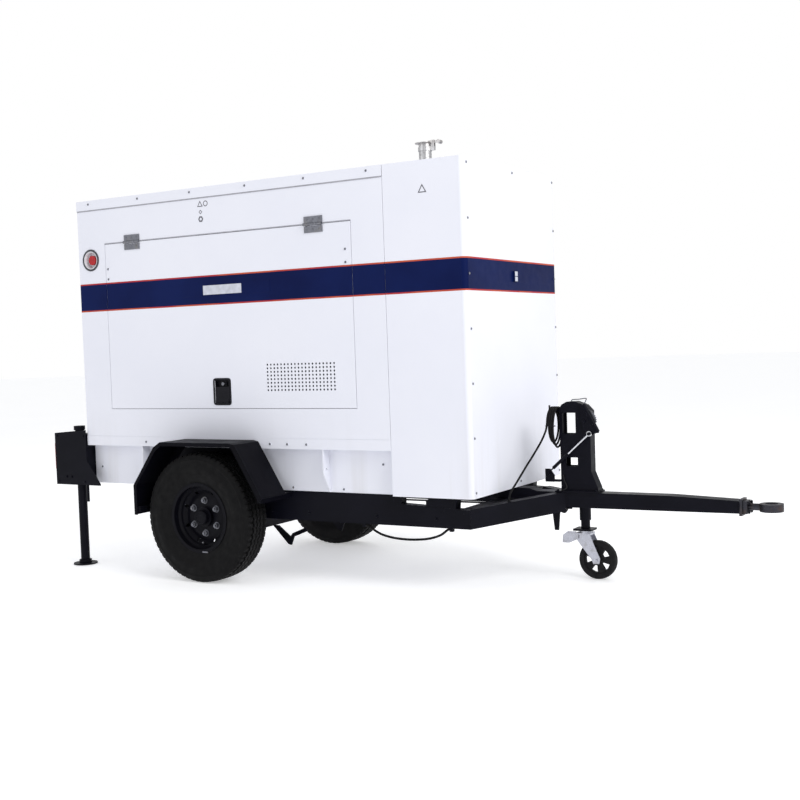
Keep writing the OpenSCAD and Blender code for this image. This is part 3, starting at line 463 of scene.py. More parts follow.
def prism(bm, points, axis, a, b):
    """points in the plane across axis, in layout millimetres, from a to b along it."""
    def place(p, q, h):
        return {"y": V(p, h, q), "z": V(p, q, h), "x": V(h, p, q)}[axis]
    low = [bm.verts.new(place(p, q, a)) for p, q in points]
    top = [bm.verts.new(place(p, q, b)) for p, q in points]
    bm.faces.new(low)
    bm.faces.new(list(reversed(top)))
    n = len(points)
    for k in range(n):
        bm.faces.new([low[k], low[(k + 1) % n], top[(k + 1) % n], top[k]])


def smooth_path(points, steps):
    """Points on a smooth curve through the given ones."""
    p = [Vector(q) for q in points]
    p = [2 * p[0] - p[1]] + p + [2 * p[-1] - p[-2]]
    out = []
    for i in range(1, len(p) - 2):
        for s in range(steps):
            t = s / steps
            out.append(0.5 * ((2 * p[i]) + (p[i + 1] - p[i - 1]) * t
                              + (2 * p[i - 1] - 5 * p[i] + 4 * p[i + 1] - p[i + 2]) * t * t
                              + (3 * p[i] - p[i - 1] - 3 * p[i + 1] + p[i + 2]) * t ** 3))
    out.append(p[-2])
    return out


def tube(bm, points, r, n=12, steps=4, caps=True):
    """A round tube of radius r (mm) along layout points."""
    path = smooth_path([V(*q) for q in points], steps)
    normal = None
    rings = []
    for i, c in enumerate(path):
        d = (path[min(i + 1, len(path) - 1)] - path[max(i - 1, 0)]).normalized()
        normal = d.orthogonal() if normal is None else normal - d * normal.dot(d)
        normal.normalize()
        side = d.cross(normal)
        ring = []
        for k in range(n):
            t = 2 * math.pi * k / n
            ring.append(bm.verts.new(c + (normal * math.cos(t) + side * math.sin(t)) * r / 1000))
        rings.append(ring)
    for a, b in zip(rings, rings[1:]):
        for k in range(n):
            f = bm.faces.new([a[k], a[(k + 1) % n], b[(k + 1) % n], b[k]])
            f.smooth = True
    if caps:
        bm.faces.new(rings[0])
        bm.faces.new(list(reversed(rings[-1])))


def screw(bm, at, axis, r=7.0, h=4.0):
    """Domed screw head with a washer and a hexagon socket."""
    lathe(bm, at, axis, [(r * 1.15, 0), (r * 1.15, 1.0), (r * 1.1, 1.3), (r, 1.3), (r * 0.93, h * 0.6),
                         (r * 0.72, h * 0.9), (r * 0.45, h), (r * 0.4, h), (r * 0.38, h * 0.45),
                         (0, h * 0.45)], n=18)


def hex_head(bm, at, axis, r=9.0, h=7.0, washer=True):
    if washer:
        lathe(bm, at, axis, [(r * 1.35, 0), (r * 1.35, 1.6), (r * 0.9, 1.6)], n=24)
    lathe(bm, at, axis, [(r, 1.5), (r, h - 1), (r * 0.88, h), (0, h)], n=6, smooth=False)


def sides():
    return ((-1, "right"), (1, "left"))


# ---------- leads
def lead_points():
    points = [(2996, -335, 516.3), (2996, -335, 530), (3003, -326, 566), (3030, -288, 628),
              (3064, -240, 706), (3096, -188, 780), (3122, -142, 848), (3136, -114, 900)]
    for i in range(50):
        t = 2 * math.pi * i / 14
        rise = 96 + 26 * i / 49
        points.append((3140.5 + 43 * i / 49, -25 - 78 * math.cos(t), 1034 - rise + rise * math.sin(t)))
    return points + [(3183.5, 54.5, 880), (3183, 55, 852), (3182.5, 55, 838), (3182.5, 55, 828)]


HOSE = [(2150.3, -530, 370), (2158, -530, 370), (2172, -530, 364), (2205, -530, 340), (2260, -530, 316),
        (2340, -530, 301), (2420, -530, 297), (2500, -530, 300), (2580, -530, 311),
        (2650, -530, 334), (2690, -530, 362), (2706, -530, 370), (2714.7, -530, 370)]


def cord_curve(name, points, diameter, steps):
    path = smooth_path([V(*p) for p in points], steps)
    data = bpy.data.curves.new(name, "CURVE")
    data.dimensions = "3D"
    spline = data.splines.new("POLY")
    spline.points.add(len(path) - 1)
    for target, p in zip(spline.points, path):
        target.co = (*p, 1)
    spline.use_smooth = True
    data.bevel_depth = diameter / 2
    data.bevel_resolution = 5
    data.use_fill_caps = True
    data.materials.append(M["lead_black"])
    obj = bpy.data.objects.new(name, data)
    bpy.context.collection.objects.link(obj)
    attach(obj, "trailer")
    length = sum((b - a).length for a, b in zip(path, path[1:]))
    return obj, length, path


lead, lead_length, lead_path = cord_curve("light_lead_sheath", lead_points(), 0.012, 3)
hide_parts("light_lead")
hose, hose_length, hose_path = cord_curve("brake_hose_sheath", HOSE, 0.014, 3)
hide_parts("brake_hose")


# ---------- CAD nodes' materials and rounded edges
SLOT_OF = {s["node"]: s["material_slot"] for s in frame["record"]["subparts"]}
SOFT_EDGE = {
    "base_tray": 1.5, "side_panel_right": 1.0, "side_panel_left": 1.0, "door_right": 1.2, "door_left": 1.2,
    "roof_panel": 1.6, "plenum_shell": 1.2, "front_panel": 0.8, "rear_panel": 0.8, "rear_door": 1.0,
    "rail_right": 4, "rail_left": 4, "drawbar_arm_right": 5, "drawbar_arm_left": 5, "cross_member": 4,
    "drawbar_tube": 6, "tower": 1.5, "rear_box_right": 1.5, "rear_box_left": 1.5, "rear_beam": 2,
    "fender_right": 1.2, "fender_left": 1.2, "axle_tube": 4, "engine": 5, "alternator": 3, "battery": 5,
    "control_panel": 2, "jockey_fork": 1.0, "jockey_tube": 2, "jockey_stem": 1.5, "brake_lever": 1.5,
    "support_leg_right": 1.2, "support_leg_left": 1.2, "axle_arm_right": 1.5, "axle_arm_left": 1.5,
    "wheel_right": 1.0, "wheel_left": 1.0, "hinges": 0.6, "latch_right": 1.0, "latch_left": 1.0,
    "tow_eye": 3, "radiator": 2, "estop_ring": 0.8, "estop_button": 3, "fuel_cap": 2, "lamps": 1.5,
    "exhaust_pipe": 0.8, "rain_cap": 0.8, "silencer": 1.5, "air_filter": 2, "fan": 1.2, "lead_plug": 1.5,
    "jockey_handle": 1.0,
}
SPECIAL = {"estop_ring": "stop_plate", "jockey_fork": "bright_zinc", "jockey_handle": "bright_zinc"}
for name, obj in nodes.items():
    material = M[SPECIAL.get(name, SLOT_OF[name])]
    if not obj.data.materials:
        obj.data.materials.append(material)
    for s in obj.material_slots:
        s.link = "OBJECT"
        s.material = material
    if name in SOFT_EDGE:
        m = obj.modifiers.new("edges", "BEVEL")
        m.width = SOFT_EDGE[name] / 1000
        m.segments = 2
        m.limit_method = "ANGLE"
        m.angle_limit = math.radians(50)
        m.use_clamp_overlap = name not in ("door_right", "door_left", "wheel_right", "wheel_left")
        if not m.use_clamp_overlap:
            m.width = 0.0005

# ---------- tyres
def tyre(side, word):
    """Truck tyre: grooved ribs with zigzag edges, slotted shoulders, stepped sidewall."""
    bm = bmesh.new()
    pitch_n, sub = 64, 5
    half = 107.5
    centre = V(1106, side * 735, 402.5)
    rings = []
    fractions = (0.0, 0.42, 0.5, 0.78, 0.86)
    for p in range(pitch_n):
        for q in range(sub):
            t = 2 * math.pi * (p + fractions[q]) / pitch_n
            zig = 3.5 if q in (0, 1) else -3.5
            slot = q in (3,)
            shoulder = 391.5 if slot else 399.0
            profile = [(205, -75), (207, -77), (222, -78), (238, -86), (262, -98), (284, -104.5),
                (286, -106.5),
                       (305, -half), (318, -half), (322, -105.8), (345, -103), (356, -100.5), (362, -101.5)]
            profile += [(374, -96), (386 if slot else 388, -91), (shoulder - 1.5, -84), (shoulder, -80)]
            profile += [(399.8 if not slot else 392, -58 + zig)]
            for y in (-52, -20, 12, 44):
                profile += [(389.5, y + zig - 0.5 + (3 if y < 0 else 0)), (389.5, y + zig + 6)]
                if y < 44:
                    profile += [(402.3, y + zig + 8), (402.3, y + 32 + zig - 3)]
            profile += [(399.8 if not slot else 392, 54 + zig), (shoulder, 80), (shoulder - 1.5, 84),
                        (386 if slot else 388, 91), (374, 96)]
            profile += [(r, -y) for r, y in reversed(profile[:13])]
            # inside of the carcass
            profile += [(205, 62), (224, 62), (262, 85), (305, 93), (350, 87), (374, 75), (384, 50), (386, 0),
                        (384, -50), (374, -75), (350, -87), (305, -93), (262, -85), (224, -62), (205, -62)]
            ring = []
            for r, y in profile:
                ring.append(bm.verts.new(centre + Vector((math.cos(t) * r, -side * y,
                    math.sin(t) * r)) / 1000))
            rings.append(ring)
    for a, b in zip(rings, rings[1:] + rings[:1]):
        n = len(a)
        for k in range(n):
            f = bm.faces.new([a[k], a[(k + 1) % n], b[(k + 1) % n], b[k]])
            f.smooth = k < 11 or 34 < k
    obj = finish_mesh(bm, "tyre_tread_" + word, "tyre_rubber", "wheel_" + word)
    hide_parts("tyre_" + word)


def wheel_details(side, word):
    bm = bmesh.new()
    out = (0, side, 0)
    face = side * 735
    for k in range(6):
        t = math.radians(30 + 60 * k)
        x, z = 1106 + 102.5 * math.cos(t) * 1, 402.5 + 102.5 * math.sin(t)
        y = face + side * 15.2
        lathe(bm, (x, y, z), out, [(22, 0), (22, 2.4), (15, 2.4)], n=28)
        lathe(bm, (x, y, z), out, [(17.6, 2), (17.6, 16), (15.6, 19.5), (9, 19.5)], n=6, smooth=False,
            phase=0.3 * k)
        lathe(bm, (x, y, z), out, [(8.6, 18), (8.6, 26), (7.4, 28.5), (0, 28.5)], n=20)
    finish_mesh(bm, "wheel_nuts_" + word, "zinc", "wheel_" + word, bevel=0.0006)
    bm = bmesh.new()
    # hub cap with a stepped rim, valve and balance weight
    lathe(bm, (1106, face + side * 58, 402.5), out,
        [(46, 0), (46, 6), (43, 10), (34, 13), (30, 13), (29, 10.5), (0, 10)], n=48)
    tube(bm, [(1106 + 12, face + side * 24, 402.5 - 172), (1106 + 12, face + side * 44, 402.5 - 168),
              (1106 + 12, face + side * 60, 402.5 - 156)], 4.2, steps=3)
    finish_mesh(bm, "hub_cap_" + word, "wheel_black", "wheel_" + word, bevel=0.0005)
    bm = bmesh.new()
    lathe(bm, (1106 + 12, face + side * 58, 402.5 - 157.5), (0, side, 0.55),
        [(5.2, 0), (5.2, 9), (4, 10.5), (0, 10.5)], n=16)
    box(bm, (1106 + 20, min(face + side * 83, face + side * 74), 402.5 - 214),
        (1106 + 62, max(face + side * 83, face + side * 74), 402.5 - 205))
    finish_mesh(bm, "valve_cap_" + word, "zinc", "wheel_" + word, bevel=0.001)


for side, word in sides():
    tyre(side, word)
    wheel_details(side, word)


# ---------- canopy details
def canopy_screws():
    bm = bmesh.new()
    for s in (-1, 1):
        out = (0, s, 0)
        for k in range(6):
            screw(bm, (110 + 437 * k, s * 631, 2430), out, 6.5)
        for x in (530, 1536, 1666, 1807):
            screw(bm, (x, s * 630, 851), out, 6.5)
        for x, z in ((63, 671), (2300, 735), (1650, 580), (2020, 580)):
            screw(bm, (x, s * 561, z), out, 6)
        for k in range(7):
            screw(bm, (2918, s * 589, 592 + 304.5 * k), (1, 0, 0), 6.5)
        for z in (930, 1240, 1560, 2010, 2340):
            screw(bm, (-0.2, s * 600, z), (-1, 0, 0), 7)
        for x0 in HINGE_X:
            for dx in (22, 65, 109):
                screw(bm, (x0 + dx, s * 630, 2187), out, 5, 3)
    for z in (592, 2419):
        screw(bm, (2918, 0, z), (1, 0, 0), 6.5)
    for x in (300, 1000, 1700, 2300):
        for s in (-1, 1):
            screw(bm, (x, s * 590, 2455), (0, 0, 1), 7)
    for y in (-200, 200):
        screw(bm, (30, y, 2455), (0, 0, 1), 7)
        screw(bm, (2890, y, 2455), (0, 0, 1), 7)
    finish_mesh(bm, "canopy_screws", "zinc", "trailer")
    for s, word in sides():
        bm = bmesh.new()
        for x, z in ((262, 1992), (262, 1925), (2133, 1996), (2133, 1920)):
            screw(bm, (x, s * 628, z), (0, s, 0), 6.5)
        for x0 in HINGE_X:
            for dx in (22, 65, 109):
                screw(bm, (x0 + dx, s * 630, 2126), (0, s, 0), 5, 3)
        for x, z in ((1117, 1098), (1247, 1098), (1117, 1250), (1247, 1250)):
            screw(bm, (x, s * 628, z), (0, s, 0), 3.5, 2.4)
        finish_mesh(bm, "door_screws_" + word, "zinc", "door_" + word)
        # hinge leaves on the door
        bm = bmesh.new()
        for x0 in HINGE_X:
            box(bm, (x0 - 0.4, s * 625.05, 2107.6), (x0 + 131.4, s * 630.3, 2146.6))
        finish_mesh(bm, "hinge_leaf_" + word, "zinc", "door_" + word, bevel=0.0012)


canopy_screws()


def rect_ring(bm, x0, x1, z0, z1, w, y0, y1, r=10):
    """A rectangular ring in the XZ plane, w wide, with rounded corners."""
    def loop(grow):
        pts = []
        for cx, cz, a0 in ((x1 - r, z1 - r, 0), (x0 + r, z1 - r, 90), (x0 + r, z0 + r, 180),
                (x1 - r, z0 + r, 270)):
            for k in range(6):
                a = math.radians(a0 + 18 * k)
                pts.append((cx + (r + grow) * math.cos(a), cz + (r + grow) * math.sin(a)))
        return pts
    inner, outer = loop(0), loop(w)
    n = len(inner)
    rows = [[bm.verts.new(V(p, y, q)) for p, q in pts] for pts,
        y in ((inner, y0), (outer, y0), (outer, y1), (inner, y1))]
    for a, b in zip(rows, rows[1:] + rows[:1]):
        for k in range(n):
            bm.faces.new([a[k], a[(k + 1) % n], b[(k + 1) % n], b[k]])


for s, word in sides():
    # sealing strip on the door frame's lip, and foam lining in the door
    bm = bmesh.new()
    rect_ring(bm, 244, 2169, 1073, 2151, 14, s * 596.5, s * 588.6, r=12)
    finish_mesh(bm, "door_seal_" + word, "seal", "trailer", bevel=0.002)
    bm = bmesh.new()
    for x0, x1 in ((262, 698), (742, 1100), (1264, 1418), (1462, 1510), (2060, 2150)):
        box(bm, (x0, s * 620.8, 1092), (x1, s * 604, 2130))
    for x0, x1, z0, z1 in ((1110, 1262, 1262, 2130), (1512, 2058, 1362, 2130)):
        box(bm, (x0, s * 620.8, z0), (x1, s * 604, z1))
    finish_mesh(bm, "door_foam_" + word, "foam", "door_" + word, bevel=0.004)
    # fine mesh behind the vent holes
    bm = bmesh.new()
    box(bm, (1514, s * 620.6, 1160), (2056, s * 616, 1358))
    finish_mesh(bm, "vent_mesh_" + word, "dark_mesh", "door_" + word, bevel=0.001)
    # latch: bezel, paddle face and key barrel
    bm = bmesh.new()
    rect_ring(bm, 1124, 1240, 1102, 1246, 13, s * 628.2, s * 630.2, r=8)
    finish_mesh(bm, "latch_bezel_" + word, "latch_black", "door_" + word, bevel=0.0008)
    # black lining of the latch pan, with a plinth under the key barrel
    bm = bmesh.new()
    for (x0, y0, z0), (x1, y1, z1) in (((1124.3, 601.1, 1102.4), (1239.7, 602.5, 1245.6)),
                                       ((1160, 602, 1209), (1204, 612.2, 1237)),
                                       ((1124.05, 602.6, 1102.4), (1124.25, 624.5, 1245.6)),
                                       ((1239.75, 602.6, 1102.4), (1239.95, 624.5, 1245.6)),
                                       ((1124.3, 602.6, 1102.05), (1239.7, 624.5, 1102.3)),
                                       ((1124.3, 602.6, 1245.7), (1239.7, 624.5, 1245.95))):
        box(bm, (x0, s * y0, z0), (x1, s * y1, z1))
    finish_mesh(bm, "latch_lining_" + word, "latch_black", "door_" + word)
    bm = bmesh.new()
    lathe(bm, (1182, s * 612, 1222), (0, s, 0),
        [(0, 0), (11, 0), (11, 9), (9.5, 10.5), (3, 10.5), (3, 9), (0, 9)], n=32)
    finish_mesh(bm, "key_barrel_" + word, "zinc", "door_" + word, bevel=0.0005)
    bm = bmesh.new()
    for k in range(5):
        box(bm, (1146, s * 626.9, 1132 + 9 * k), (1218, s * 628.1, 1136 + 9 * k))
    box(bm, (1138, s * 630, 1106), (1226, s * 632.5, 1110))
    finish_mesh(bm, "paddle_ribs_" + word, "latch_black", "latch_" + word, bevel=0.0006)
    # one blank plate on the band
    bm = bmesh.new()
    box(bm, (1060, s * 626.25, 1782), (1362, s * 627.4, 1840))
    finish_mesh(bm, "blank_plate_" + word, "decal_white", "door_" + word, bevel=0.0004)

# plain shapes where the small labels sit: triangle, square and disc with no marks
def outline(points, grow):
    cx = sum(p for p, _ in points) / len(points)
    cz = sum(q for _, q in points) / len(points)
    return [(cx + (p - cx) * grow, cz + (q - cz) * grow) for p, q in points]


def ring_prism(bm, points, grow, a, b):
    inner = outline(points, grow)
    n = len(points)
    rows = [[bm.verts.new(V(p, y, q)) for p, q in pts] for pts,
        y in ((points, a), (points, b), (inner, b), (inner, a))]
    for r0, r1 in zip(rows, rows[1:] + rows[:1]):
        for k in range(n):
            bm.faces.new([r0[k], r0[(k + 1) % n], r1[(k + 1) % n], r1[k]])


def labels(s, word):
    bm = bmesh.new()
    a, b = s * 625.05, s * 625.6

    def tri(x, z, w):
        return [(x - w / 2, z - w * 0.43), (x + w / 2, z - w * 0.43), (x, z + w * 0.43)]

    def disc(x, z, r, n=20):
        return [(x + r * math.cos(2 * math.pi * k / n),
            z + r * math.sin(2 * math.pi * k / n)) for k in range(n)]
    ring_prism(bm, tri(1062, 2352, 44), 0.62, a, b)
    ring_prism(bm, disc(1106, 2350, 18), 0.72, a, b)
    ring_prism(bm, disc(1064, 2300, 14, 4), 0.62, a, b)
    ring_prism(bm, disc(1064, 2256, 20, 6), 0.5, a, b)
    ring_prism(bm, tri(2656, 2297, 56), 0.66, a, b)
    finish_mesh(bm, "label_shapes_" + word, "decal_grey", "trailer")


labels(-1, "right")

# small oblong fitting on the front end
bm = bmesh.new()
for z0, z1 in ((1781, 1808), (1812, 1839)):
    box(bm, (2926.6, -18, z0), (2928.6, 18, z1))
finish_mesh(bm, "front_fitting_lens", "decal_white", "trailer", bevel=0.001)

# mesh under the roof outlet, and behind the rear louvres
bm = bmesh.new()
box(bm, (2552, -130, 2440), (2848, 442, 2444))
box(bm, (6, -425, 932), (9, 425, 1250))
finish_mesh(bm, "outlet_mesh", "dark_mesh", "trailer", bevel=0.001)
# louvre blades over the rear slots
bm = bmesh.new()
for k in range(10):
    z = 940 + 32 * k
    prism(bm, [(-0.05, z + 16), (-9, z + 1), (-10, z + 1.6), (-0.05, z + 19)], "y", -424, 424)
finish_mesh(bm, "rear_louvres", "canopy_white", "trailer", bevel=0.0004)


# ---------- rear door and control panel
def rear_ring(bm, y0, y1, z0, z1, w, x0, x1, r=12):
    def loop(grow):
        pts = []
        for cy, cz, a0 in ((y1 - r, z1 - r, 0), (y0 + r, z1 - r, 90), (y0 + r, z0 + r, 180),
                (y1 - r, z0 + r, 270)):
            for k in range(6):
                a = math.radians(a0 + 18 * k)
                pts.append((cy + (r + grow) * math.cos(a), cz + (r + grow) * math.sin(a)))
        return pts
    inner, outer = loop(0), loop(w)
    n = len(inner)
    rows = [[bm.verts.new(V(x, p, q)) for p, q in pts] for pts,
        x in ((inner, x0), (outer, x0), (outer, x1), (inner, x1))]
    for a, b in zip(rows, rows[1:] + rows[:1]):
        for k in range(n):
            bm.faces.new([a[k], a[(k + 1) % n], b[(k + 1) % n], b[k]])


bm = bmesh.new()
rear_ring(bm, -166, 166, 1644, 1876, 16, -3.5, 0.5)
finish_mesh(bm, "window_gasket", "seal", "rear_door", bevel=0.0012)
bm = bmesh.new()
box(bm, (1, -169, 1641), (3.4, 169, 1879))
finish_mesh(bm, "window_pane", "glass", "rear_door", bevel=0.0004)
bm = bmesh.new()
rear_ring(bm, -392, 392, 1308, 2092, 6, 26.2, 32, r=8)
finish_mesh(bm, "rear_door_seal", "seal", "rear_door", bevel=0.002)
# swing handle with its dish and lock
bm = bmesh.new()
rear_ring(bm, -352, -318, 1622, 1778, 8, -3.2, -0.05, r=10)
lathe(bm, (-2, -335, 1640), (-1, 0, 0), [(13, 0), (13, 8), (11, 10), (4, 10), (4, 8), (0, 8)], n=28)
box(bm, (-16.5, -344, 1652), (-12, -326, 1766))
finish_mesh(bm, "rear_door_handle", "latch_black", "rear_door", bevel=0.0015)
bm = bmesh.new()
for z in (1400, 1900):
    for dz in (18, 82):
        screw(bm, (-4, 352, z + dz), (-1, 0, 0), 4.5, 3)
        screw(bm, (-4, 380, z + dz), (-1, 0, 0), 4.5, 3)
finish_mesh(bm, "rear_hinge_screws", "zinc", "rear_door")

# instruments on the cabinet: bezels, dials with plain ticks, a screen, switches
face_x = 52


def gauge(y, z, r):
    bm = bmesh.new()
    lathe(bm, (face_x - 0.1, y, z), (-1, 0, 0), [(r, 0), (r, 8), (r - 2, 10), (r - 5, 10), (r - 6, 5)], n=40)
    finish_mesh(bm, f"gauge_rim_{y}_{z}".replace("-", "m"), "latch_black", "trailer",
        bevel=0.0006)
    bm = bmesh.new()
    lathe(bm, (face_x - 3, y, z), (-1, 0, 0), [(0, 0), (r - 5, 0), (r - 5, 1), (0, 1)], n=40)
    finish_mesh(bm, f"gauge_face_{y}_{z}".replace("-", "m"), "dial_white", "trailer")
    bm = bmesh.new()
    for k in range(11):
        a = math.radians(225 - 27 * k)
        c, q = math.cos(a), math.sin(a)
        pts = [(y - (r - 8) * c + 0.7 * q, z + (r - 8) * q + 0.7 * c),
            (y - (r - 8) * c - 0.7 * q, z + (r - 8) * q - 0.7 * c),
               (y - (r - 14) * c - 0.7 * q, z + (r - 14) * q - 0.7 * c),
               (y - (r - 14) * c + 0.7 * q, z + (r - 14) * q + 0.7 * c)]
        prism(bm, pts, "x", face_x - 4, face_x - 4.8)
    prism(bm, [(y - 1.4, z - 5), (y + 1.4, z - 5), (y + (r - 12) * 0.5, z + (r - 12) * 0.8)], "x",
        face_x - 5.2, face_x - 6)
    finish_mesh(bm, f"gauge_ticks_{y}_{z}".replace("-", "m"), "latch_black", "trailer")


for y in (-96, -32):
    gauge(y, 1822, 27)
gauge(96, 1822, 27)
gauge(32, 1822, 27)
bm = bmesh.new()
box(bm, (face_x - 6, -70, 1706), (face_x - 0.1, 30, 1776))
for k in range(5):
    rod(bm, (face_x - 0.1, -60 + 20 * k, 1688), (-1, 0, 0), 6, 5.5, chamfer=1)
rod(bm, (face_x - 0.1, 66, 1740), (-1, 0, 0), 16, 13, chamfer=2)
rod(bm, (face_x - 0.1, 104, 1740), (-1, 0, 0), 12, 9, chamfer=2)
finish_mesh(bm, "panel_switches", "latch_black", "trailer", bevel=0.001)
bm = bmesh.new()
box(bm, (face_x - 7, -62, 1714), (face_x - 5.9, 22, 1768))
finish_mesh(bm, "panel_screen", "screen", "trailer", bevel=0.0005)
bm = bmesh.new()
rod(bm, (face_x - 0.1, 84, 1692), (-1, 0, 0), 14, 13, chamfer=3)
finish_mesh(bm, "panel_stop", "stop_red", "trailer", bevel=0.001)


# ---------- chassis, rear frame and drawbar details
def chassis_details():
    bm = bmesh.new()
    for s in (-1, 1):
        out = (0, s, 0)
        # bolts through the rail, spring plates and fender stays
        for x in (520, 700, 1480, 1760, 2240, 2640):
            hex_head(bm, (x, s * 560, 430), out, 9, 7)
        for x, z in ((640, 452), (640, 434), (1618, 544), (1618, 528)):
            hex_head(bm, (x + 8, s * 862, z), out, 6, 5)
        for x in (-195, -147):
            lathe(bm, (x, s * 651, 604), out, [(7, 0), (7, 2), (0, 2)], n=6, smooth=False)
        for x, z in ((-268, 884), (-268, 572), (-24, 884), (-24, 572)):
            hex_head(bm, (x, s * 646, z), out, 7, 5)
    for y in (-28, 28):
        for z in (468, 514):
            hex_head(bm, (4272, y, z), (1, 0, 0), 10, 7)
    for x in (3175, 3410):
        for y in (-50, 50):
            hex_head(bm, (x, y, 549), (0, 0, 1), 8, 8)
    for z in (482, 514):
        for x in (3228, 3288):
            hex_head(bm, (x + 6, 200, z), (0, 1, 0), 7, 5)
    finish_mesh(bm, "chassis_bolts", "chassis_black", "trailer", bevel=0.0006)

    # weld beads where the drawbar arms, cross member and eye plate meet
    bm = bmesh.new()
    for s in (-1, 1):
        tube(bm, [(2780, s * 500, 488), (2850, s * 500, 488)], 3.5, n=8, steps=6)
        tube(bm, [(3142, s * 49, 451), (3142, s * 49, 505), (3110, s * 49, 512)], 3, n=8, steps=5)
        tube(bm, [(2860, s * 560.5, 382), (2860, s * 560.5, 486)], 3.2, n=8, steps=8)
        tube(bm, [(1256, s * 478, 380.5), (1256, s * 530, 380.5)], 3, n=8, steps=6)
    tube(bm, [(4225.5, -48, 458), (4225.5, -48, 526), (4225.5, 48, 526), (4225.5, 48, 458),
        (4225.5, -48, 458)], 3.0, n=8, steps=3)
    tube(bm, [(3192, -35.5, 550), (3417, -35.5, 550)], 3, n=8, steps=12)
    tube(bm, [(3192, 35.5, 550), (3417, 35.5, 550)], 3, n=8, steps=12)
    finish_mesh(bm, "weld_beads", "chassis_black", "trailer")

    # axle bracket clamp plates, two on each side
    bm = bmesh.new()
    for s in (-1, 1):
        prism(bm, [(1190, 380), (1322, 380), (1310, 292), (1202, 292)], "y", s * 500, s * 512)
        prism(bm, [(1190, 380), (1322, 380), (1310, 292), (1202, 292)], "y", s * 548, s * 558)
    finish_mesh(bm, "axle_brackets", "chassis_black", "trailer", bevel=0.0015)

    # loom under the left rail, from the tank to the drawbar
    bm = bmesh.new()
    pts = [(700, 490, 376), (1000, 488, 371), (1180, 486, 374), (1700, 490, 371), (2300, 490, 374),
        (2840, 488, 376),
           (3010, 320, 384), (3150, 110, 398), (3208, 52, 470)]
    tube(bm, pts, 6, n=10, steps=6)
    finish_mesh(bm, "chassis_loom", "hose_rubber", "trailer")
    # steel prop wire on the tower's head
    bm = bmesh.new()
    tube(bm, [(3262, -20, 1064), (3264, -20, 1072), (3272, -20, 1078), (3310, -20, 1080), (3346, -20, 1085),
        (3355, -20, 1083),
              (3353, -20, 1076), (3346, -20, 1060), (3338, -20, 1040)], 3, n=10, steps=4)
    finish_mesh(bm, "tower_wire", "zinc", "trailer")
    # breakaway cable, from the lever's foot into the tube
    bm = bmesh.new()
    tube(bm, [(3210, -44, 640), (3214, -42, 610), (3230, -44, 575), (3226, -52, 560), (3200, -56, 551)],
        3.5, n=10, steps=5)
    finish_mesh(bm, "breakaway_cable", "hose_rubber", "trailer")
    # ratchet sector beside the lever
    bm = bmesh.new()
    teeth = []
    for k in range(25):
        a = math.radians(112 - 5 * k)
        r = 74 if k % 2 else 69
        teeth.append((3349 + r * math.cos(a), 955 + r * math.sin(a)))
    teeth += [(3349 + 52 * math.cos(math.radians(-8 + 15 * k)),
        955 + 52 * math.sin(math.radians(-8 + 15 * k))) for k in range(9)]
    prism(bm, teeth, "y", -39.5, -36)
    finish_mesh(bm, "ratchet_sector", "zinc", "trailer", bevel=0.0005)


chassis_details()


bm = bmesh.new()
centre = V(3162, -102, 930)
loops = []
for grow in (0.0, 1.6):
    for half in (-3, 3):
        pts = []
        for k in range(24):
            a = 2 * math.pi * k / 24
            c, q = math.cos(a), math.sin(a)
            ex = math.copysign(abs(c) ** 0.5, c) * (29 + grow)
            ey = math.copysign(abs(q) ** 0.6, q) * (8.5 + grow)
            pts.append(bm.verts.new(centre + Vector((ex, ey, half)) / 1000))
        loops.append(pts)
order = [loops[0], loops[1], loops[3], loops[2]]
for a, b in zip(order, order[1:] + order[:1]):
    for k in range(24):
        bm.faces.new([a[k], a[(k + 1) % 24], b[(k + 1) % 24], b[k]])
finish_mesh(bm, "coil_tie", "latch_black", "trailer")

# plug: ribbed sleeve and a bayonet ring
bm = bmesh.new()
profile = [(6.2, 24), (9, 22), (12.4, 10)]
for k in range(6):
    z = -26 - 5 * k
    profile += [(17.3, z), (18.4, z - 1.2), (18.4, z - 3), (17.3, z - 4)]
profile += [(17.3, -57), (19.2, -57.4), (19.2, -60.3), (14.5, -60.3), (14.5, -52), (0, -52)]
lathe(bm, (3182.5, 55, 827.7), (0, 0, 1), profile, n=36)
finish_mesh(bm, "plug_sleeve", "moulded_black", "trailer")


# ---------- grey strips at the roof flange seam and over the doors
# painted shadow: a grey strip under the roof flange, along both sides and the rear, stands for the flange's
# shadow line
bm = bmesh.new()
for s in (-1, 1):
    box(bm, (1, s * 625.1, 2384.5), (2395, s * 628.4, 2391.6))
box(bm, (-2.6, -624, 2384.5), (-0.1, 624, 2391.6))
finish_mesh(bm, "roof_flange_shadow_strip", "shadow_line_grey", "trailer", bevel=0.0008)
# painted shade: thin grey strips just above each door's top edge, between the hinges, stand for the dark line
# along the door top
for s, word in sides():
    bm = bmesh.new()
    x_cuts = [(238, 413), (548, 1847), (1982, 2175)]
    for x0, x1 in x_cuts:
        box(bm, (x0, s * 624, 2158.3), (x1, s * 627.5, 2163))
    finish_mesh(bm, "door_top_shadow_strip_" + word, "shadow_line_grey", "trailer", bevel=0.0006)


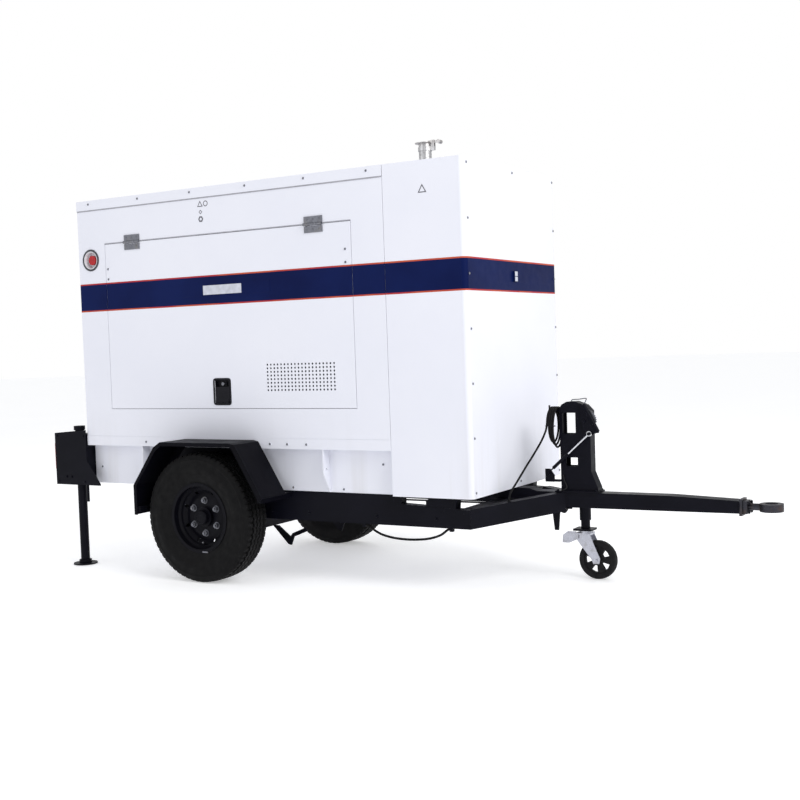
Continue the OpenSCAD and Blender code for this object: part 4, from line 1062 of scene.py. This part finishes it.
# ---------- power unit details, seen through the open doors
def power_unit():
    bm = bmesh.new()
    for k in range(6):
        x = 1330 + 106 * k
        box(bm, (x, -88, 1450), (x + 88, 88, 1486))
        rod(bm, (x + 44, 0, 1486), (0, 0, 1), 12, 14, chamfer=3)
    box(bm, (1290, -100, 1444), (1970, 100, 1452))
    for k in range(7):
        box(bm, (1268 + 104 * k, -178, 900), (1280 + 104 * k, -168, 1270))
        box(bm, (1268 + 104 * k, 168, 900), (1280 + 104 * k, 178, 1270))
    prism(bm, [(1300, 770), (1960, 770), (1930, 640), (1700, 612), (1400, 640)], "y", -110, 110)
    finish_mesh(bm, "engine_covers", "engine_paint", "trailer", bevel=0.005)
    bm = bmesh.new()
    for k in range(6):
        x = 1352 + 106 * k
        tube(bm, [(x, -186, 1180), (x - 4, -196, 1240), (x + 6, -190, 1330), (x + 12, -150, 1420),
            (x + 12, -96, 1446)], 4, n=8, steps=4)
    finish_mesh(bm, "injector_pipes", "zinc", "trailer")
    bm = bmesh.new()
    box(bm, (1300, -232, 1080), (1620, -172, 1180))
    for k in range(3):
        rod(bm, (1700 + 92 * k, -232, 930), (0, 0, 1), 170, 42, chamfer=8)
        rod(bm, (1700 + 92 * k, -232, 1100), (0, 0, 1), 30, 34, chamfer=6)
    finish_mesh(bm, "pump_and_filters", "moulded_black", "trailer", bevel=0.003)
    bm = bmesh.new()
    tube(bm, [(1985, -60, 1400), (2060, -60, 1440), (2160, -70, 1560), (2240, -80, 1740),
        (2300, -80, 1780)], 32, n=18, steps=6)
    tube(bm, [(2008, 140, 940), (2030, 230, 932), (2070, 335, 930), (2130, 398, 945), (2230, 408, 975),
        (2300, 400, 1000)],
         28, n=18, steps=6)
    finish_mesh(bm, "coolant_hoses", "hose_rubber", "trailer")
    bm = bmesh.new()
    tube(bm, [(1700, -190, 1340), (1760, -260, 1380), (1900, -300, 1560), (2140, -290, 1860),
        (2380, -240, 2060),
              (2410, -240, 2120)], 44, n=20, steps=6)
    for x, y, z, d in ((1776, -264, 1396, (0.6, -0.3, 0.9)), (2140, -290, 1860, (0.7, 0.1, 0.7))):
        lathe(bm, (x, y, z), d, [(45, -12), (54, -12), (54, 12), (45, 12)], n=28, closed=True)
    finish_mesh(bm, "exhaust_downpipe", "silencer_steel", "trailer")
    bm = bmesh.new()
    for k in range(26):
        a = 2 * math.pi * k / 26
        c, q = math.cos(a), math.sin(a)
        if q > 0.82:
            continue
        box_at = [(x, 1080 + r * q + w * c, r * c - w * q) for x, r, w in
                  ((500, 234, -5), (500, 234, 5), (500, 252, 4), (500, 252, -4))]
        low = [bm.verts.new(V(520, y, z)) for _, z, y in box_at]
        top = [bm.verts.new(V(1140, y, z)) for _, z, y in box_at]
        bm.faces.new(low)
        bm.faces.new(list(reversed(top)))
        for i in range(4):
            bm.faces.new([low[i], low[(i + 1) % 4], top[(i + 1) % 4], top[i]])
    lathe(bm, (440, 0, 1080), (-1, 0, 0), [(0, 0), (120, 0), (120, 12), (90, 20), (0, 20)], n=40)
    finish_mesh(bm, "alternator_fins", "alternator_paint", "trailer", bevel=0.001)
    bm = bmesh.new()
    lathe(bm, (2204, 0, 1080), (1, 0, 0), [(335, 0), (335, 60), (341, 60), (341, 0)], n=64, closed=True)
    for k in range(20):
        a = 2 * math.pi * k / 20
        tube(bm, [(2264, 335 * math.cos(a), 1080 + 335 * math.sin(a)),
            (2296, 420 * math.cos(a), 1300 + 330 * math.sin(a))], 2.5, n=6, steps=2)
    finish_mesh(bm, "fan_shroud", "moulded_black", "trailer", bevel=0.001)
    bm = bmesh.new()
    tube(bm, [(340, -390, 920), (360, -380, 960), (420, -330, 980), (470, -280, 900), (600, -240, 860)], 9,
        n=10, steps=6)
    tube(bm, [(340, -500, 920), (350, -500, 970), (400, -470, 990), (440, -420, 840), (470, -380, 720)], 9,
        n=10, steps=6)
    tube(bm, [(200, 100, 1320), (220, 110, 1240), (330, 120, 1200), (520, 110, 1330), (562, 100, 1380)], 16,
        n=12, steps=6)
    tube(bm, [(200, 140, 1320), (220, 150, 1230), (330, 160, 1180), (520, 150, 1320), (562, 140, 1370)], 16,
        n=12, steps=6)
    finish_mesh(bm, "power_cables", "hose_rubber", "trailer")
    # foam lining on the inside of the roof
    bm = bmesh.new()
    box(bm, (20, -560, 2424), (2380, 560, 2450))
    finish_mesh(bm, "roof_foam", "foam", "trailer", bevel=0.006)


power_unit()


# ---------- zinc sleeves on the doors' middle knuckles
for s, word in sides():
    bm = bmesh.new()
    for x in HINGE_X:
        lathe(bm, (x + 44.2, s * 635.5, PIN_Z), (1, 0, 0), [(8.9, 0), (9.4, 0.6), (9.4, 42), (8.9, 42.6)],
            n=24, closed=True)
    finish_mesh(bm, "hinge_knuckles_" + word, "zinc", "door_" + word)


# ---------- floor and light
bm = bmesh.new()
rings = [(0.001, 0), (6, 0), (14, 0), (30, 0), (70, 0)]
c = Vector((0, 0, -0.0005))
prev = None
for r, h in rings:
    ring = [bm.verts.new(c + Vector((r * math.cos(2 * math.pi * k / 64), r * math.sin(2 * math.pi * k / 64),
        h))) for k in range(64)]
    if prev:
        for k in range(64):
            bm.faces.new([prev[k], prev[(k + 1) % 64], ring[(k + 1) % 64], ring[k]])
    prev = ring
mesh = bpy.data.meshes.new("studio_floor")
bm.to_mesh(mesh)
bm.free()
mesh.materials.append(floor_paint())
floor = bpy.data.objects.new("studio_floor", mesh)
bpy.context.collection.objects.link(floor)

world = bpy.data.worlds.new("studio")
bpy.context.scene.world = world
world.use_nodes = True
tree = world.node_tree
soft = tree.nodes["Background"]
soft.inputs["Color"].default_value = (0.97, 0.98, 1.0, 1)
soft.inputs["Strength"].default_value = 0.66
seen = tree.nodes.new("ShaderNodeBackground")
seen.inputs["Color"].default_value = (1, 1, 1, 1)
seen.inputs["Strength"].default_value = 1.0
either = tree.nodes.new("ShaderNodeMixShader")
tree.links.new(tree.nodes.new("ShaderNodeLightPath").outputs["Is Camera Ray"], either.inputs[0])
tree.links.new(soft.outputs[0], either.inputs[1])
tree.links.new(seen.outputs[0], either.inputs[2])
tree.links.new(either.outputs[0], tree.nodes["World Output"].inputs["Surface"])


def area(name, at, aim, size, power, colour=(1, 1, 1)):
    data = bpy.data.lights.new(name, "AREA")
    data.shape = "RECTANGLE"
    data.size, data.size_y = size
    data.energy = power
    data.color = colour
    obj = bpy.data.objects.new(name, data)
    bpy.context.collection.objects.link(obj)
    obj.matrix_world = Matrix.Translation(at) @ (Vector(aim) - Vector(at)).to_track_quat("-Z",
        "Y").to_matrix().to_4x4()


area("key", (9.0, -3.5, 6.5), (0, 0, 1.2), (5, 4), 520)
area("fill", (-5.0, -8.0, 4.5), (0, 0, 1.0), (6, 4), 75, (0.97, 0.98, 1))
area("rim", (-4.0, 8.0, 5.5), (0, 0, 1.2), (6, 4), 150)
